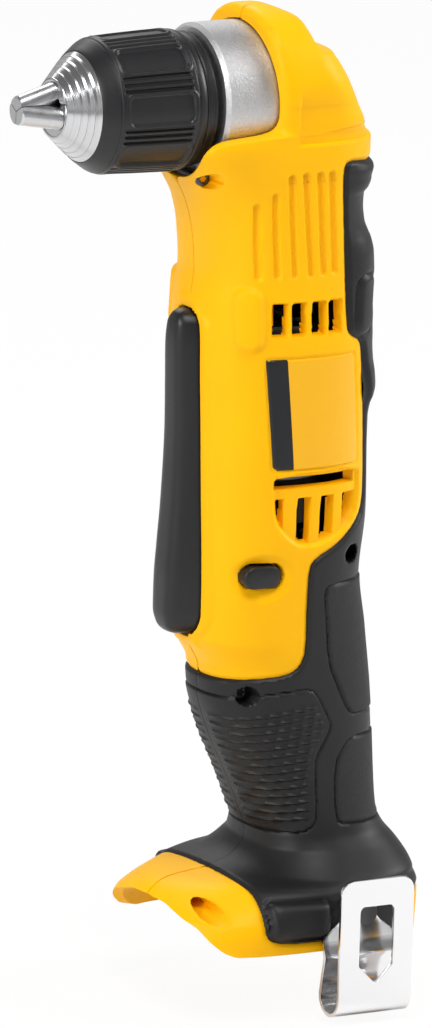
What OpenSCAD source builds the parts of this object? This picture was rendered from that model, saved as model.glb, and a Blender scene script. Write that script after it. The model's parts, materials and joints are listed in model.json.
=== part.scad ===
// Cordless right angle drill, bare tool: a two-half moulded body with a bevel gear head and a keyless chuck.
// Frame: origin on the spindle axis inside the chuck's nose, +X out along the bit, +Z up, +Y the tool's left.
// Modules are drawn from the point where the motor axis meets the spindle axis, and place() moves them.

/* [Chuck] */
// Distance from the motor axis to the chuck mouth
mouth_x = 77.5; // [76.5:0.5:79]
// Overall length of the chuck body behind its mouth
chuck_len = 39.5; // [39:0.5:40.5]
// Radius of the gripping sleeve
sleeve_r = 21.7; // [21.5:0.05:22.5]
// Length of the gripping sleeve
sleeve_len = 34.3; // [33.5:0.1:34.5]
// Wall of the gripping sleeve
sleeve_wall = 2; // [1.8:0.05:2.2]
// Groups of ridges round the sleeve
sleeve_groups = 8; // [4:1:9]
// Radius of the steel nose where the sleeve starts
nose_r = 16.8; // [16:0.1:17.2]
// Length of the steel nose cone
nose_len = 8.2; // [7.5:0.1:8.6]
// Radius of the flat face of the nose
nose_face_r = 9.4; // [9.2:0.1:10.5]
// How far the closed jaws stand out of the mouth
jaw_reach = 12.5; // [11:0.5:13]
// Length of a jaw
jaw_len = 34; // [32:0.5:35]
// Radius of a jaw
jaw_r = 3.5; // [3.2:0.05:3.6]
// Angle between a jaw and the spindle axis
jaw_tilt = 16; // [15:0.25:17]
// Travel of a jaw along its own bore
jaw_travel = 18; // [14:0.5:18]
// Radius of the threaded nose of the spindle
thread_r = 6.35; // [5.5:0.05:6.5]

/* [Gear head] */
// Radius of the cast gear case and its collar
case_r = 23; // [22.5:0.1:24]
// Reach of the collar in front of the motor axis
collar_x = 29.3; // [29:0.1:31]
// Reach of the gear case's rear boss behind the motor axis
case_back = 11.6; // [11.2:0.1:11.8]
// Radius of the case neck round the planet gears
neck_r = 22; // [21.6:0.1:22.6]
// Radius of the spindle in its bearings
spindle_r = 6; // [5.5:0.1:6.3]
// Module of the bevel teeth
bevel_m = 1.4; // [1.35:0.01:1.45]
// Teeth on the bevel gear
bevel_teeth = 22; // [22:1:22]
// Teeth on the bevel pinion
pinion_teeth = 12; // [12:1:12]
// Face width of the bevel teeth
bevel_face = 6; // [5:0.25:6.5]
// Module of the planet gears
planet_m = 0.95; // [0.9:0.01:0.98]
// Face width of the planet gears
planet_w = 6; // [5:0.1:6.2]

/* [Motor] */
// Radius of the motor can
can_r = 18.4; // [17.5:0.1:18.6]
// Length of the motor can
can_len = 48; // [44:1:50]
// Depth of the top of the can below the spindle axis
can_top = 70; // [69.5:0.5:71]
// Length of the brush end bell
bell_len = 14; // [12:0.5:15]
// Radius of the motor shaft
shaft_r = 1.6; // [1.5:0.05:2]
// Radius of the cooling fan
fan_r = 16.5; // [14:0.5:17]

/* [Housing] */
// Radius of the moulded head round the gear case
head_r = 27.8; // [27.4:0.1:28.5]
// Reach of the moulded head in front of the motor axis
head_front = 13.2; // [12.5:0.1:14]
// Length of the body from the spindle axis to the grip
body_len = 178; // [177:0.5:182]
// Depth of the body, front to back, that its sections follow
body_d = 60; // [59:0.5:62]
// Width of the body
body_w = 56; // [55.5:0.5:58]
// Length of the grip
grip_len = 55; // [52:0.5:60]
// Depth of the grip, front to back, that its sections follow
grip_d = 58; // [56:0.5:60]
// Width of the grip
grip_w = 46; // [45:0.5:48]
// Height of the foot
foot_h = 30; // [29:0.5:33]
// Length of the foot
foot_l = 80; // [79:0.5:83]
// Width of the foot
foot_w = 78; // [77:0.5:81]
// Wall of the housing
wall = 2.6; // [2.2:0.1:3]
// Thickness of the soft overmoulding
soft_t = 1.4; // [1:0.1:1.6]

/* [Trigger] */
// Length of the trigger paddle
trigger_len = 102; // [98:0.5:103]
// Width of the trigger paddle
trigger_w = 20; // [18:0.5:21]
// Reach of the trigger face in front of the motor axis
trigger_x = 36; // [35:0.1:37]
// Depth of the top of the trigger below the spindle axis
trigger_top = 65.5; // [65:0.25:66]
// Radius of the trigger pin
trigger_pin_r = 1.5; // [1.2:0.1:1.8]
// Length of the reverse button along the body
reverse_l = 13; // [11:0.5:13.5]
// Height of the reverse button
reverse_h = 7.2; // [6:0.2:7.6]

/* [Belt hook] */
// Width of the hook plate
hook_w = 26; // [24:0.5:28]
// Thickness of the hook strip
hook_t = 1.3; // [1:0.1:1.6]
// Gap between the two legs of the hook
hook_gap = 10; // [9:0.5:11]
// Height of the outer plate above the bend
hook_h = 38; // [36:0.5:40]
// Radius of the hook screw thread
hook_screw_r = 1.95; // [1.7:0.05:2.2]

/* [Hidden] */

yellow = "#f5b914";
black = "#2b2b2c";
rubber = "#3a3a3b";
steel = "#b9bcc0";
alloy = "#c9cacb";
copper = "#b87333";

// Clearances and overruns
overrun = 1;
seat_gap = 0.15;
run_gap = 0.04;
free_gap = 0.3;
slot_gap = 0.35;
// Extra room in moulded bores, whose flats cut inside the true circle
flat_gap = 0.3;
curve_fn = 64;
$round = curve_fn;
shell_fn = 24;
arc_step = 15;

// Distance from the motor axis to the origin
origin_x = 73;
module place() { translate([-origin_x, 0, 0]) children(); }
module along_x() { rotate([0, 90, 0]) children(); }
module along_y() { rotate([-90, 0, 0]) children(); }

// A round bar, or a tube, along the spindle axis from x0 to x1
module bar_x(r, x0, x1) { translate([x0, 0, 0]) along_x() cylinder(r = r, h = x1 - x0, $fn = $round); }
module tube_x(r, bore, x0, x1) {
    difference() {
        bar_x(r, x0, x1);
        bar_x(bore, x0 - overrun, x1 + overrun);
    }
}
// The same along the motor axis, between depths z0 (lower) and z1 (upper)
module bar_z(r, z0, z1) { translate([0, 0, z0]) cylinder(r = r, h = z1 - z0, $fn = $round); }
module tube_z(r, bore, z0, z1) {
    difference() {
        bar_z(r, z0, z1);
        bar_z(bore, z0 - overrun, z1 + overrun);
    }
}
module bar_y(r, p, y0, y1) {
    translate([p[0], y0, p[1]]) along_y() cylinder(r = r, h = y1 - y0, $fn = $round);
}
function span_at(mid, half) = [mid - half, mid + half];
module box(x, y, z) { translate([x[0], y[0], z[0]]) cube([x[1] - x[0], y[1] - y[0], z[1] - z[0]]); }

// Involute teeth: points of one gear, with its tip and root as shares of the module
pressure = 25;
tip_share = 0.82;
root_share = 1.12;
backlash_share = 0.07;
flank_steps = 3;
function roll(r, base) = sqrt(max(0, pow(r / base, 2) - 1)) * 180 / PI - acos(min(1, base / r));
function gear_points(m, teeth, tip, root, lash) =
    let(pitch = m * teeth / 2, base = pitch * cos(pressure), low = pitch - root * m, high = pitch + tip * m,
        half = 90 / teeth - lash * m / pitch * 180 / PI / 2, lift = roll(pitch, base), foot = max(base, low))
    [for (t = [0:teeth - 1]) let(mid = 360 * t / teeth)
        for (p = concat(
            [[low, -half - lift]],
            [for (i = [0:flank_steps]) let(r = foot + (high - foot) * i / flank_steps)
                [r, roll(r, base) - half - lift]],
            [for (i = [flank_steps:-1:0]) let(r = foot + (high - foot) * i / flank_steps)
                [r, half + lift - roll(r, base)]],
            [[low, half + lift]]))
        p[0] * [cos(mid + p[1]), sin(mid + p[1])]];
module gear(m, teeth, w) {
    linear_extrude(height = w) polygon(gear_points(m, teeth, tip_share, root_share, backlash_share));
}

// Planet train sizes, stacked down the motor axis
sun_teeth = 12;
planet_teeth = 12;
ring_teeth = sun_teeth + 2 * planet_teeth;
planets = 3;
orbit_r = planet_m * (sun_teeth + planet_teeth) / 2;
planet_pin_r = 2;
carrier_r = orbit_r + planet_pin_r + overrun;
carrier_t = 3;
axial_gap = 0.3;
bearing_w = 6;
bevel_hub = 2.4;
pinion_shaft_r = 5;
pinion_back = -(bevel_m * bevel_teeth / 2 + bevel_hub);
bearing_low = pinion_back - bearing_w;
carrier2_top = bearing_low - axial_gap;
planet2_top = carrier2_top - carrier_t - axial_gap;
planet2_low = planet2_top - planet_w;
carrier1_top = planet2_low - axial_gap;
planet1_top = carrier1_top - carrier_t - axial_gap;
planet1_low = planet1_top - planet_w;
ring_low = planet1_low - axial_gap;
neck_wall = 2;
ring_r = neck_r - neck_wall;
neck_low = ring_low - axial_gap;

// Spindle line
x_sleeve = mouth_x - nose_len;
x_sleeve_back = x_sleeve - sleeve_len;
x_chuck_back = mouth_x - chuck_len;
x_tip = mouth_x + jaw_reach;
thread_len = 16;
bearing_r = 14;
ball_w = 8;
ball_cover = 1;
x_ball = collar_x - ball_cover - ball_w;
collar_gap = 2;
bush_r = 8;
bush_w = 5;
bush_bore = 5;
bush_floor = 1.4;
x_bush = -case_back + bush_floor;

// Gear case: cast collar and chamber, with a neck for the planet train
chamber_r = 18.4;
// Where the conical shoulder leaves the rear boss and where it reaches the collar's radius
shoulder_back = 4;
shoulder_front = 0.8;
shoulder_wall = 1.4;
bush_end = x_bush + bush_w;
chamber_x0 = shoulder_wall - shoulder_front;
case_web = 3;
chamber_x1 = x_ball - case_web;
case_step = 2;
case_step_r = bearing_r - case_step;
case_edge = 1.2;
case_back_r = 11.5;
pinion_room_r = 10.4;
pinion_bearing_r = 9.6;
neck_top = -6;
module case_skin(grow) {
    along_x() rotate_extrude($fn = $round) polygon([[0, -case_back - grow],
        [case_back_r - case_edge + grow, -case_back - grow], [case_back_r + grow, case_edge - case_back - grow],
        [case_back_r + grow, -shoulder_back - grow], [case_r + grow, -shoulder_front - grow],
        [case_r + grow, collar_x - case_edge + grow], [case_r - case_edge + grow, collar_x + grow],
        [0, collar_x + grow]]);
    bar_z(neck_r + grow, neck_low - grow, neck_top + grow);
}
module gear_case() {
    color(alloy) place() difference() {
        case_skin(0);
        bar_x(chamber_r, chamber_x0, chamber_x1);
        bar_x(case_step_r, chamber_x1 - overrun, x_ball + overrun);
        bar_x(bearing_r, x_ball, collar_x + overrun);
        bar_x(bush_r, x_bush, chamber_x0 + overrun);
        bar_z(pinion_room_r, pinion_back, 0);
        bar_z(pinion_bearing_r, bearing_low, pinion_back + overrun);
        bar_z(ring_r, neck_low - overrun, bearing_low);
    }
}
module front_bearing() {
    color(steel) place() tube_x(bearing_r, spindle_r + run_gap, x_ball, x_ball + ball_w);
}
module rear_bush() { color("#a98b4f") place() tube_x(bush_r, bush_bore + run_gap, x_bush, x_bush + bush_w); }
module pinion_bearing() {
    color(steel) place() tube_z(pinion_bearing_r, pinion_shaft_r + run_gap, bearing_low, pinion_back);
}
module ring_gear() {
    color(steel) place() translate([0, 0, ring_low]) difference() {
        cylinder(r = ring_r, h = bearing_low - axial_gap - ring_low, $fn = curve_fn);
        translate([0, 0, -overrun]) linear_extrude(height = neck_r) rotate(180 / ring_teeth)
            polygon(gear_points(planet_m, ring_teeth, root_share, tip_share, -backlash_share));
        translate([0, 0, planet2_top - ring_low])
            cylinder(r = carrier_r + overrun, h = neck_r, $fn = curve_fn);
    }
}

// Bevel teeth stand on a root cone whose apex is where the axes meet
gear_cone = atan(bevel_teeth / pinion_teeth);
cone_len = bevel_m * sqrt(pow(bevel_teeth, 2) + pow(pinion_teeth, 2)) / 2;
bevel_tip_share = 0.7;
bevel_root_share = 1.0;
foot_width_share = 0.64;
tip_width_share = 0.2;
face_share = 1 - bevel_face / cone_len;
// One tooth: a trapezium across the pitch cone at its large end, drawn in to the apex
module bevel_tooth(teeth, cone) {
    r = bevel_m * teeth / 2;
    function at(u, v) = [r + v * cos(cone), u, cone_len * cos(cone) - v * sin(cone)];
    low = -bevel_root_share * bevel_m - overrun / 2;
    high = bevel_tip_share * bevel_m;
    foot = foot_width_share * bevel_m;
    tip = tip_width_share * bevel_m;
    large = [at(-foot, low), at(foot, low), at(tip, high), at(-tip, high)];
    polyhedron(concat(large, [for (p = large) p * face_share]),
        [[0, 1, 2, 3], [7, 6, 5, 4], [0, 4, 5, 1], [1, 5, 6, 2], [2, 6, 7, 3], [3, 7, 4, 0]]);
}
// The toothed cone, apex at the origin and opening along +Z
module bevel(teeth, cone, bore, hub, turn) {
    r = bevel_m * teeth / 2;
    root = bevel_root_share * bevel_m;
    z1 = cone_len * cos(cone) + root * sin(cone);
    r1 = r - root * cos(cone);
    difference() {
        union() {
            rotate_extrude($fn = curve_fn) polygon([[0, z1 * face_share], [r1 * face_share, z1 * face_share],
                [r1, z1], [r1, z1 + hub], [0, z1 + hub]]);
            for (t = [0:teeth - 1]) rotate(360 * t / teeth + turn) bevel_tooth(teeth, cone);
        }
        translate([0, 0, -overrun]) cylinder(r = bore, h = cone_len + hub, $fn = curve_fn);
    }
}
module bevel_gear() {
    color(steel) place() along_x() bevel(bevel_teeth, gear_cone, spindle_r, bevel_hub * 2, 180 / bevel_teeth);
}
module bevel_pinion() {
    color(steel) place() {
        rotate([180, 0, 0]) bevel(pinion_teeth, 90 - gear_cone, pinion_shaft_r / 2, bevel_hub / 2, 0);
        bar_z(pinion_shaft_r, carrier2_top - carrier_t, pinion_back + bevel_hub / 2);
    }
}
module spindle() {
    color(steel) place() {
        bar_x(bush_bore, x_bush + free_gap, bush_end);
        bar_x(spindle_r, bush_end, collar_x + collar_gap);
        bar_x(thread_r, collar_x + collar_gap, x_chuck_back + thread_len);
    }
}

// Planet carriers and planets
module carrier(top) {
    translate([0, 0, top - carrier_t]) cylinder(r = carrier_r, h = carrier_t, $fn = curve_fn);
    for (k = [0:planets - 1]) rotate(360 * k / planets) translate([orbit_r, 0, top - carrier_t - planet_w])
        cylinder(r = planet_pin_r, h = planet_w + overrun, $fn = curve_fn);
}
module output_carrier() {
    color(steel) place() difference() {
        carrier(carrier2_top);
        bar_z(pinion_shaft_r, carrier2_top - carrier_t - overrun, carrier2_top + overrun);
    }
}
module middle_carrier() {
    color(steel) place() {
        carrier(carrier1_top);
        translate([0, 0, carrier1_top - overrun]) gear(planet_m, sun_teeth, planet_w + overrun);
    }
}
module planet(k, low) {
    color("#9a9da1") place() rotate(360 * k / planets) translate([orbit_r, 0, low]) difference() {
        rotate(180 / planet_teeth) gear(planet_m, planet_teeth, planet_w);
        translate([0, 0, -overrun])
            cylinder(r = planet_pin_r + run_gap, h = planet_w + 2 * overrun, $fn = curve_fn);
    }
}
module output_planet(k) { planet(k, planet2_low); }
module input_planet(k) { planet(k, planet1_low); }

// Motor: rotor on its shaft inside a can with two magnets
bell_wall = 2;
bell_top = -can_top - can_len;
bell_low = bell_top - bell_len;
shaft_low = bell_low + overrun;
can_t = 1.2;
magnet_t = 3.4;
air_gap = 0.5;
rotor_r = can_r - can_t - magnet_t - air_gap;
winding_end = 6;
rotor_low = bell_top + winding_end;
rotor_len = can_len - winding_end - winding_end - collar_gap * 2;
rotor_slots = 7;
comm_r = 5;
comm_low = bell_low + 2 * bell_wall;
fan_w = 8;
fan_gap = 2.4;
fan_low = -can_top + fan_gap;
fan_hub_r = 5;
fan_blades = 9;
blade_t = 1.2;
module motor_pinion() {
    color(steel) place() difference() {
        translate([0, 0, ring_low]) gear(planet_m, sun_teeth, planet1_top - ring_low);
        bar_z(shaft_r, ring_low - overrun, planet1_top + overrun);
    }
}
module motor_shaft() { color(steel) place() bar_z(shaft_r, shaft_low, planet1_top); }
module armature() {
    color(copper) place() difference() {
        bar_z(rotor_r, rotor_low, rotor_low + rotor_len);
        bar_z(shaft_r, rotor_low - overrun, rotor_low + rotor_len + overrun);
        for (k = [0:rotor_slots - 1]) rotate(360 * k / rotor_slots)
            box([rotor_r / 2, rotor_r + overrun], [-blade_t, blade_t],
                [rotor_low - overrun, rotor_low + rotor_len + overrun]);
    }
}
module commutator() {
    color("#a5673f") place() tube_z(comm_r, shaft_r, comm_low, rotor_low);
}
module cooling_fan() {
    color(black) place() difference() {
        union() {
            bar_z(fan_hub_r, fan_low, fan_low + fan_w);
            bar_z(fan_r, fan_low + fan_w - blade_t, fan_low + fan_w);
            for (k = [0:fan_blades - 1]) rotate(360 * k / fan_blades)
                box([fan_hub_r - overrun, fan_r], [-blade_t / 2, blade_t / 2], [fan_low, fan_low + fan_w]);
        }
        bar_z(shaft_r, fan_low - overrun, fan_low + fan_w + overrun);
    }
}
can_holes = 6;
can_hole_r = 3;
can_hole_share = 0.62;
module motor_can() {
    color("#8f9296") place() difference() {
        bar_z(can_r, -can_top - can_len, -can_top);
        bar_z(can_r - can_t, -can_top - can_len - overrun, -can_top - can_t);
        bar_z(shaft_r + run_gap, -can_top - can_t - overrun, -can_top + overrun);
        for (k = [0:can_holes - 1]) rotate(360 * k / can_holes) translate([can_r * can_hole_share, 0, 0])
            bar_z(can_hole_r, -can_top - can_t - overrun, -can_top + overrun);
    }
}
magnet_arc = 70;
module motor_magnets() {
    color("#4a4a4d") place() for (s = [0, 180]) rotate(s - magnet_arc)
        translate([0, 0, rotor_low]) rotate_extrude(angle = 2 * magnet_arc, $fn = curve_fn)
            translate([can_r - can_t - magnet_t, 0]) square([magnet_t, rotor_len]);
}
brush_w = 5;
brush_h = 6;
brush_end = sqrt(pow(can_r - bell_wall, 2) - pow(brush_w / 2, 2)) - run_gap;
module motor_end_bell() {
    color(black) place() difference() {
        bar_z(can_r, bell_low, bell_top);
        bar_z(can_r - bell_wall, bell_low + bell_wall, bell_top + overrun);
        bar_z(shaft_r + run_gap, bell_low - overrun, bell_top);
    }
}
// Each brush stands on the floor of the end bell and meets the commutator
module carbon_brushes() {
    color("#55504b") place() for (s = [0, 180]) rotate(s)
        box([comm_r + free_gap, brush_end], [-brush_w / 2, brush_w / 2],
            [bell_low + bell_wall, bell_low + bell_wall + brush_h]);
}

// Chuck
tip_offset = 1;
jaw_gap = 0.12;
jaw_fit = 0.12;
jaw_tip_r = 4.2;
nut_gap = 0.35;
nut_r = sleeve_r - sleeve_wall - nut_gap;
nut_w = 6;
nut_depth = 23.1;
x_nut = mouth_x - nut_depth;
shank_r = 5.2;
core_r = 12;
sleeve_bore = sleeve_r - sleeve_wall;
screw_head_r = 4.2;
screw_head_h = 3;
cap_len = 4.9;
cap_step = 0.6;
cap_r = nose_r + cap_step;
jaws = 3;
// Puts a shape drawn down its own -Z axis from the jaw tip onto jaw line k
module on_jaw_line(k) {
    rotate([360 * k / jaws, 0, 0]) translate([x_tip, 0, tip_offset]) rotate([0, 90 + jaw_tilt, 0]) children();
}
module jaw_bore(k, r, from, to) {
    on_jaw_line(k) translate([0, 0, -to]) cylinder(r = r, h = to - from, $fn = curve_fn);
}
module chuck_jaw(k) {
    color("#d4d6d8") place() intersection() {
        difference() {
            jaw_bore(k, jaw_r, -jaw_r, jaw_len);
            rotate([360 * k / jaws, 0, 0]) for (s = [-1, 1]) rotate([s * 180 / jaws, 0, 0])
                box([mouth_x - jaw_len, x_tip + jaw_len], s > 0 ? [-nose_r, jaw_gap] : [-jaw_gap, nose_r],
                    [-nose_r, nose_r]);
        }
        along_x() rotate_extrude($fn = curve_fn) polygon([[0, 0], [nose_r, 0], [nose_r, mouth_x],
            [jaw_tip_r, x_tip], [0, x_tip]]);
    }
}
module chuck_body() {
    back = x_chuck_back;
    color("#c4c6c9") place() difference() {
        along_x() rotate_extrude($fn = curve_fn) polygon([[0, back], [sleeve_bore - seat_gap * 2, back],
            [sleeve_bore - seat_gap * 2, x_nut - free_gap], [core_r, x_nut - free_gap],
            [core_r, x_nut + nut_w + free_gap], [nose_r, x_nut + nut_w + free_gap], [nose_r, x_sleeve],
            [nose_face_r, mouth_x], [0, mouth_x]]);
        bar_x(thread_r, back - overrun, back + thread_len);
        bar_x(shank_r, back + thread_len - overrun, mouth_x + overrun);
        for (k = [0:jaws - 1]) jaw_bore(k, jaw_r + jaw_fit, 0, jaw_len + jaw_travel + free_gap);
    }
}
module chuck_screw() {
    start = x_chuck_back + thread_len;
    color("#77797c") place() bar_x(screw_head_r, start, start + screw_head_h);
}
// Ring behind the sleeve, which closes the gap to the collar, on a neck that meets the chuck body
ring_inset = 1.1;
neck_ring_r = 17;
module dust_ring() {
    color(black) place() difference() {
        union() {
            bar_x(neck_ring_r, collar_x + collar_gap, x_chuck_back);
            bar_x(sleeve_r - ring_inset, collar_x + collar_gap, x_sleeve_back - free_gap);
        }
        bar_x(thread_r, collar_x, x_chuck_back + overrun);
    }
}
pad_depth = 1.4;
pad_w = 9.3;
sleeve_taper = 0.9;
groove_depth = 1.4;
groove_w = 1.1;
groove_step = 2.6;
sleeve_round = 2.4;
sleeve_land = 4.4;
module chuck_sleeve() {
    x0 = x_sleeve_back;
    color(black) place() difference() {
        along_x() rotate_extrude($fn = curve_fn) polygon([[sleeve_bore, x0], [sleeve_r - sleeve_wall / 2, x0],
            [sleeve_r, x0 + sleeve_round], [sleeve_r - sleeve_taper, x_sleeve - cap_len], [cap_r, x_sleeve],
            [nose_r + seat_gap, x_sleeve], [nose_r + seat_gap, x_nut + nut_w + free_gap],
            [sleeve_bore, x_nut + nut_w + free_gap]]);
        for (k = [0:sleeve_groups - 1]) rotate([360 * k / sleeve_groups, 0, 0]) {
            box([x0 + sleeve_land, x_sleeve - cap_len - sleeve_round], [-pad_w / 2, pad_w / 2],
                [sleeve_r - pad_depth, sleeve_r + overrun]);
            rotate([180 / sleeve_groups, 0, 0]) for (s = [-1, 1]) translate([0, s * groove_step / 2, 0])
                box([x0 + sleeve_land, x_sleeve - cap_len - sleeve_round], [-groove_w / 2, groove_w / 2],
                    [sleeve_r - groove_depth, sleeve_r + overrun]);
        }
    }
}
// The split nut drives the jaw threads: its cone clears the jaws at every opening
module chuck_nut() {
    rise = tan(jaw_tilt);
    function clear_r(x) = tip_offset + (x_tip - x) * rise + jaw_r / cos(jaw_tilt) + free_gap;
    color("#8c8e91") place() along_x() rotate_extrude($fn = curve_fn) polygon([[clear_r(x_nut), x_nut],
        [nut_r, x_nut], [nut_r, x_nut + nut_w], [clear_r(x_nut + nut_w), x_nut + nut_w]]);
}

// Moulded body: superellipse sections lofted from the foot up to the crown of the head.
// A row is its depth, front, rear and width as shares of its own stretch, and its squareness ahead and behind.
body_shares = [[0.97, 0.405, 0.55, 0.857, 2.5, 2.4], [0.945, 0.445, 0.54, 0.871, 2.6, 2.4],
    [0.84, 0.457, 0.49, 0.921, 2.6, 2.4], [0.73, 0.458, 0.513, 0.971, 2.6, 2.4],
    [0.55, 0.464, 0.504, 0.998, 2.6, 2.4], [0.505, 0.467, 0.538, 0.994, 2.6, 2.4],
    [0.45, 0.471, 0.521, 0.988, 2.6, 2.4], [0.35, 0.467, 0.507, 0.979, 2.5, 2.4],
    [0.289, 0.448, 0.505, 0.971, 2.5, 2.4], [0.243, 0.462, 0.483, 0.971, 2.5, 2.4],
    [0.217, 0.474, 0.45, 0.971, 2.5, 2.4], [0.165, 0.525, 0.433, 0.971, 2.5, 2.4],
    [0.141, 0.567, 0.475, 0.972, 2.6, 2.4], [0.11, 0.61, 0.495, 0.975, 2.8, 2.4],
    [0.079, 0.617, 0.475, 0.979, 3, 2.4], [0.059, 0.525, 0.472, 0.982, 3.6, 2.4],
    [0.045, 0.25, 0.448, 0.986, 5.5, 2.4], [0.031, 0.22, 0.432, 0.989, 6.5, 2.4]];
grip_shares = [[0.96, 0.048, 0.69, 1.04, 2.5, 2.6], [0.855, 0.084, 0.648, 1, 2.4, 2.4],
    [0.67, 0.16, 0.636, 0.978, 2.4, 2.4], [0.4, 0.283, 0.624, 0.978, 2.4, 2.4],
    [0.145, 0.36, 0.603, 0.991, 2.4, 2.4], [0, 0.374, 0.583, 1.017, 2.4, 2.4]];
foot_shares = [[1, 0.48, 0.569, 0.99, 3.6, 4], [0.7, 0.49, 0.579, 1, 3.6, 4],
    [0.53, 0.394, 0.584, 0.982, 3.4, 4], [0.417, 0.264, 0.584, 0.936, 3.2, 3.6],
    [0.25, 0.055, 0.574, 0.821, 2.8, 3.2], [0.1, 0.024, 0.546, 0.705, 2.6, 2.8]];
// The head's rows are round the spindle axis: height as a share of its radius, front and rear of its reach
head_square = 2.7;
head_shares = [[0, 1, 1.69, 7, 2.4], [0.27, 1, 1.31, 7, 2.4], [0.51, 1, 0.93, 7, 2.6], [0.547, 1, 0.85, 7, 2.8],
    [0.583, 1, 0.394, 7, 5], [0.73, 1, 0.29, 7, 6], [0.87, 0.99, 0.25, 6, 6], [0.955, 0.93, 0.22, 6, 6],
    [0.99, 0.84, 0.15, 6, 6]];
function stretch(shares, start, len, d, w) =
    [for (s = shares) [-start - s[0] * len, s[1] * d, s[2] * d, s[3] * w / 2, s[4], s[5]]];
head_rows = [for (s = head_shares)
    [s[0] * head_r, s[1] * head_front, s[2] * head_front,
        head_r * pow(1 - pow(s[0], head_square), 1 / head_square), s[3], s[4]]];
stations = concat(stretch(foot_shares, body_len + grip_len, foot_h, foot_l, foot_w),
    stretch(grip_shares, body_len, grip_len, grip_d, grip_w),
    stretch(body_shares, 0, body_len, body_d, body_w), head_rows);
foot_top = -(body_len + grip_len);
foot_low = foot_top - foot_h;
section_steps = 20;
// One section: half ahead of its middle and half behind, each with its own depth and squareness
function section(st, inset) = let(mid = min(0, (st[1] - st[2]) / 2), w = max(st[3] - inset, run_gap))
    [for (i = [0:section_steps - 1])
        let(a = 360 * i / section_steps, c = cos(a), s = sin(a), n = c > 0 ? st[4] : st[5],
            d = max((c > 0 ? st[1] - mid : st[2] + mid) - inset, run_gap))
        [mid + d * sign(c) * pow(abs(c), 2 / n), w * sign(s) * pow(abs(s), 2 / n), st[0]]];
// Skin of the body, drawn in by inset; the lowest section drops by extra
module body_skin(inset, extra = 0) {
    n = section_steps;
    rows = len(stations);
    drop = [extra, 0, 0, 0, 0, 0];
    rings = [for (i = [0:rows - 1]) section(i == 0 ? stations[0] - drop : stations[i], inset)];
    points = [for (r = rings) for (p = r) p];
    sides = [for (r = [0:rows - 2]) for (i = [0:n - 1]) let(a = r * n + i, b = r * n + (i + 1) % n)
        for (f = [[a, a + n, b + n], [a, b + n, b]]) f];
    ends = [[for (i = [0:n - 1]) i], [for (i = [n - 1:-1:0]) (rows - 1) * n + i]];
    polyhedron(points, concat(sides, ends));
}
half_reach = body_len;
module half(side) {
    intersection() {
        children();
        box([-half_reach, half_reach], side > 0 ? [0, half_reach] : [-half_reach, 0],
            [-2 * half_reach, half_reach]);
    }
}

// Soft overmoulding: the rear of the body and all of the grip, seen from the side.
// Each point is its reach from the motor axis as a share of body_d and its depth as a share of body_len.
soft_shares = [[-0.4, 0.1045], [-0.217, 0.0944], [-0.177, 0.099], [-0.172, 0.125], [-0.22, 0.388],
    [-0.323, 0.413], [-0.343, 0.438], [-0.407, 0.685], [-0.327, 0.744], [-0.073, 0.793], [-0.037, 0.809],
    [-0.037, 0.876], [-0.05, 0.961], [-0.027, 0.989], [0.04, 1.003], [0.367, 1.016], [1, 1.017]];
foot_edge_shares = [[0.75, 0.115], [0.375, 0.2167], [0.2175, 0.3], [0.215, 0.433], [0.2325, 0.573],
    [0.211, 0.72], [0.19, 0.833], [0.144, 0.913], [-0.025, 0.947], [-0.75, 0.947]];
function soft_outline() = concat([for (p = soft_shares) [p[0] * body_d, -p[1] * body_len]],
    [for (p = foot_edge_shares) [p[0] * foot_l, foot_top - p[1] * foot_h]],
    [[-body_d, -soft_shares[0][1] * body_len]]);
module soft_zone() {
    rotate([90, 0, 0]) linear_extrude(height = 2 * half_reach, center = true) polygon(soft_outline());
}
// Bumper on the side of the foot
bumper_rise = 1.9;
bumper_x = 4.4;
bumper_half = 10.4;
bumper_shares = [0.505, 0.855];
module bumper() {
    intersection() {
        body_skin(-bumper_rise);
        box(span_at(bumper_x, bumper_half), [-half_reach, half_reach],
            [foot_top - bumper_shares[1] * foot_h, foot_top - bumper_shares[0] * foot_h]);
    }
}
module soft_layer() {
    intersection() {
        difference() {
            union() {
                body_skin(0);
                bumper();
            }
            body_skin(soft_t);
            side_holes();
            trigger_slot();
            reverse_oval(slot_gap, half_reach);
            label_pocket(seat_gap);
        }
        soft_zone();
    }
}
module overmould_left() { color(rubber) place() half(1) soft_layer(); }
module overmould_right() { color(rubber) place() half(-1) soft_layer(); }

// Openings in the sides and front of the body
slot_fn = 6;
module slot_y(p, q, r) {
    rotate([90, 0, 0]) linear_extrude(height = 2 * half_reach, center = true) hull() for (c = [p, q])
        translate(c) circle(r = r, $fn = slot_fn);
}
// A window with rounded corners, right through the body
window_r = 0.6;
window_fn = 8;
module window_y(x, z) {
    rotate([90, 0, 0]) linear_extrude(height = 2 * half_reach, center = true) hull()
        for (u = [x[0] + window_r, x[1] - window_r], v = [z[0] + window_r, z[1] - window_r])
            translate([u, v]) circle(r = window_r, $fn = window_fn);
}
vent_top = 59.9;
vent_low = 69.9;
vent_pitch = 6.4;
vent_x = 10.9;
vent_half = 2.2;
vents = 4;
module upper_vents() {
    for (k = [0:vents - 1]) window_y(span_at(vent_x - k * vent_pitch, vent_half), [-vent_low, -vent_top]);
}
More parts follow.
